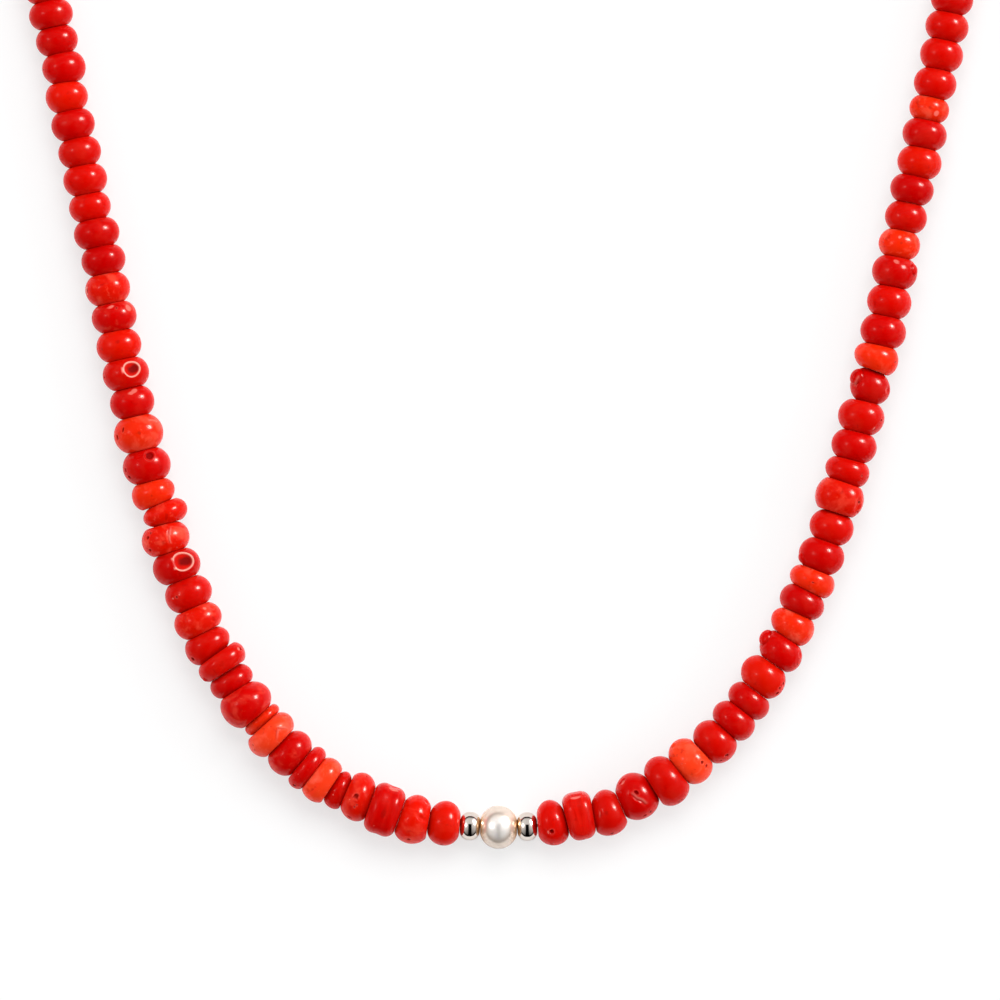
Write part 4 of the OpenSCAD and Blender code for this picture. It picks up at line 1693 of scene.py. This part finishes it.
@dataclass(frozen=True)
class SoftBox:
    """A near soft box that the surfaces feel but don't mirror.

    Args:
        name: Its name.
        place: Where it is, in metres.
        wide: Its width, in metres.
        tall: Its height, in metres.
        power: Its power in watts.
    """

    name: str
    place: Point
    wide: float
    tall: float
    power: float

    def hang(self, target: Vector) -> None:
        """Puts it in the scene.

        Args:
            target: The place that it faces, in metres.
        """
        data = bpy.data.lights.new(self.name, "AREA")
        data.shape, data.size, data.size_y, data.energy = "RECTANGLE", self.wide, self.tall, self.power
        box = put_in_scene(self.name, data)
        box.location = self.place
        box.rotation_euler = (target - Vector(self.place)).to_track_quat("-Z", "Y").to_euler()
        box.visible_glossy = False
        box.visible_camera = False


@dataclass
class Studio:
    """A lit white surface in a light tent, seen from straight above through a slot in the tent.

    Directions in the tent are parts of a unit vector: x to the right, y away from the pearl and z up.

    Args:
        view_y: Where the camera looks, from the middle of the loop.
        frame_wide: Width of what it sees.
        lens: Focal length of the camera.
        sensor: Width of its sensor.
        near_far: Distances between which it sees, in metres.
        table: Half the surface's width, in metres.
        table_white: Its colour where it lights things.
        table_seen: Its colour to the camera.
        table_glow: Colour of its own glow.
        table_bounce: Strength of that glow where it lights things.
        cloth_y: Directions between which the tent gets brighter, from dark to full.
        cloth_sides: How much brighter it is at its sides.
        cloth_z: Heights between which it starts.
        mirrored_z: The same, as polished surfaces mirror it.
        slot_x: Where the slot ends at its sides, from its outer to its inner edge.
        slot_y: Where it ends towards the back, in the same way.
        fill_power: How closely the light from the sides keeps to them.
        side_fill: Light from both sides.
        east_fill: How much more of it comes from the right.
        tent: Brightness of the tent.
        mirrored: How much brighter it looks in polished surfaces.
        behind: Brightness past the edge of the surface.
        glows: What the polished surfaces mirror, as parts of the tent.
        far_lamps: The lamps outside it.
        north_box: The soft box over its back.
    """

    view_y: float = -44.1
    frame_wide: float = 140.0
    lens: float = 250.0
    sensor: float = 36.0
    near_far: tuple[float, float] = (0.01, 10.0)
    table: float = 1.5
    table_white: Colour = (0.9, 0.9, 0.9, 1)
    table_seen: Colour = (0.33, 0.33, 0.33, 1)
    table_glow: Colour = (0.635, 0.635, 0.635, 1)
    table_bounce: float = 0.4
    cloth_y: tuple[float, float] = (-1.05, 0.25)
    cloth_sides: float = 0.35
    cloth_z: tuple[float, float] = (0.03, 0.14)
    mirrored_z: tuple[float, float] = (0.10, 0.45)
    slot_x: tuple[float, float] = (0.23, 0.13)
    slot_y: tuple[float, float] = (0.38, 0.28)
    fill_power: float = 3.0
    side_fill: float = 0.40
    east_fill: float = 0.25
    tent: float = 0.735
    mirrored: float = 1.06
    behind: float = 0.98
    glows: tuple[Glow, ...] = (Glow(EAST, 6.0, 28.0, 3.6, 1.2), Glow(WEST, 2.0, 24.0, 2.0))
    far_lamps: tuple[FarLamp, ...] = (
        FarLamp("east_core", EAST, 14.0, 230.0),
        FarLamp("east_soft", EAST, 25.0, 26.0),
        FarLamp("west_core", WEST, 6.0, 50.0),
        FarLamp("west_soft", WEST, 14.0, 6.0),
        FarLamp("east_panel", (1.0, 0.1, 0.36), 40.0, 2.6, mirrored=False),
        FarLamp("south_panel", (-0.65, -0.75, 0.36), 40.0, 1.4, mirrored=False),
    )
    north_box: SoftBox = SoftBox("north_box", (0.10, 0.46, 0.75), 0.7, 0.55, 5.2)

    def camera(self) -> None:
        """Puts the camera straight above the part of the loop that the photograph shows."""
        data = bpy.data.cameras.new("camera")
        data.lens, data.sensor_width = self.lens, self.sensor
        data.clip_start, data.clip_end = self.near_far
        eye = put_in_scene("camera", data)
        high = self.frame_wide * self.lens / self.sensor + THREAD_HIGH
        eye.location = (0.0, self.view_y * MM, high * MM)
        bpy.context.scene.camera = eye

    def floor(self) -> None:
        """Lays the plain white surface, which glows a little from below where the camera sees it."""
        made, make = new_material("white_surface")
        path = make.add("ShaderNodeLightPath").outputs
        seen = path["Is Camera Ray"]
        make.finish(make.add(
            "ShaderNodeBsdfPrincipled", Base_Color=make.mix(seen, self.table_white, self.table_seen),
            Roughness=1.0, Specular_IOR_Level=0.0, Emission_Color=self.table_glow,
            Emission_Strength=make.plus(seen, make.times(path["Is Diffuse Ray"], self.table_bounce)),
        ))
        half = self.table
        mesh = bpy.data.meshes.new("surface")
        corners = [(-half, -half, 0), (half, -half, 0), (half, half, 0), (-half, half, 0)]
        mesh.from_pydata(corners, [], [(0, 1, 2, 3)])
        mesh.materials.append(made)
        put_in_scene("surface", mesh)

    def tent_light(self, make: Nodes, way: Socket) -> tuple[Socket, Socket]:
        """The light that comes from each direction.

        Args:
            make: The world's node maker.
            way: The direction.

        Returns:
            The radiance that lights rough surfaces, and the one that polished surfaces mirror.
        """
        x, y, z = make.add("ShaderNodeSeparateXYZ", Vector=way).outputs
        aside = make.unsigned(x)
        cloth = make.plus(make.ramp(y, self.cloth_y, smooth=False), make.times(aside, self.cloth_sides))
        slot = make.times(make.ramp(aside, self.slot_x), make.ramp(y, self.slot_y))
        closed = make.maths("SUBTRACT", 1.0, slot)
        cloth = make.times(cloth, self.tent, make.ramp(z, self.cloth_z), closed)
        fill = make.plus(self.side_fill, make.times(x, self.east_fill))
        fill = make.times(make.maths("POWER", aside, self.fill_power), fill)
        mirrored = make.times(cloth, make.ramp(z, self.mirrored_z), self.mirrored)
        lamps = [glow.light(make, way) for glow in self.glows]
        return make.plus(cloth, fill), make.plus(mirrored, *lamps)

    def world(self) -> None:
        """Paints the tent: one even light for the surfaces, and bright areas for their reflections."""
        scene = bpy.context.scene
        scene.world = bpy.data.worlds.new("tent")
        scene.world.use_nodes = True
        make = Nodes(scene.world.node_tree)
        ray = make.add("ShaderNodeLightPath").outputs
        way = make.add("ShaderNodeTexCoord").outputs["Generated"]
        light, shine, back = (
            make.add("ShaderNodeBackground", Strength=strength, Color=(1, 1, 1, 1)).outputs[0]
            for strength in (*self.tent_light(make, way), self.behind)
        )
        for kind, other in (("Is Glossy Ray", shine), ("Is Camera Ray", back)):
            mixed = make.fill(make.add("ShaderNodeMixShader"), (ray[kind], light, other))
            light = mixed.outputs[0]
        make.finish(mixed, "ShaderNodeOutputWorld")

    def build(self) -> None:
        """Sets up the whole studio."""
        self.camera()
        self.floor()
        self.world()
        for lamp in self.far_lamps:
            lamp.hang()
        self.north_box.hang(Vector((0, self.view_y * MM, 0)))
        bpy.context.scene.view_settings.view_transform = "Standard"


def main() -> None:
    """Builds the necklace and its studio."""
    logging.basicConfig(level=logging.INFO, format="%(name)s: %(message)s")
    route = Route()
    clouds = cloud_group()
    coral = CoralFinish().material(clouds)
    silver = SilverFinish().material(clouds)
    nacre = NacreFinish().material(clouds)
    CoralString("coral_left", left_beads(), -1, LEFT_CORAL_FROM, route).build(coral)
    CoralString("coral_right", right_beads(), 1, RIGHT_CORAL_FROM, route).build(coral)
    Pearl("pearl", PEARL_AT, route).build(nacre)
    for name, s in SPACERS_AT.items():
        SilverBall(name, s, route).build(silver)
    BarrelClasp("clasp", route.at_point(CLASP_POINT), route).build(silver)
    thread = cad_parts["thread"]
    thread.data.materials.clear()
    thread.data.materials.append(ThreadFinish().material())
    Studio().build()


if __name__ == "__main__":
    main()
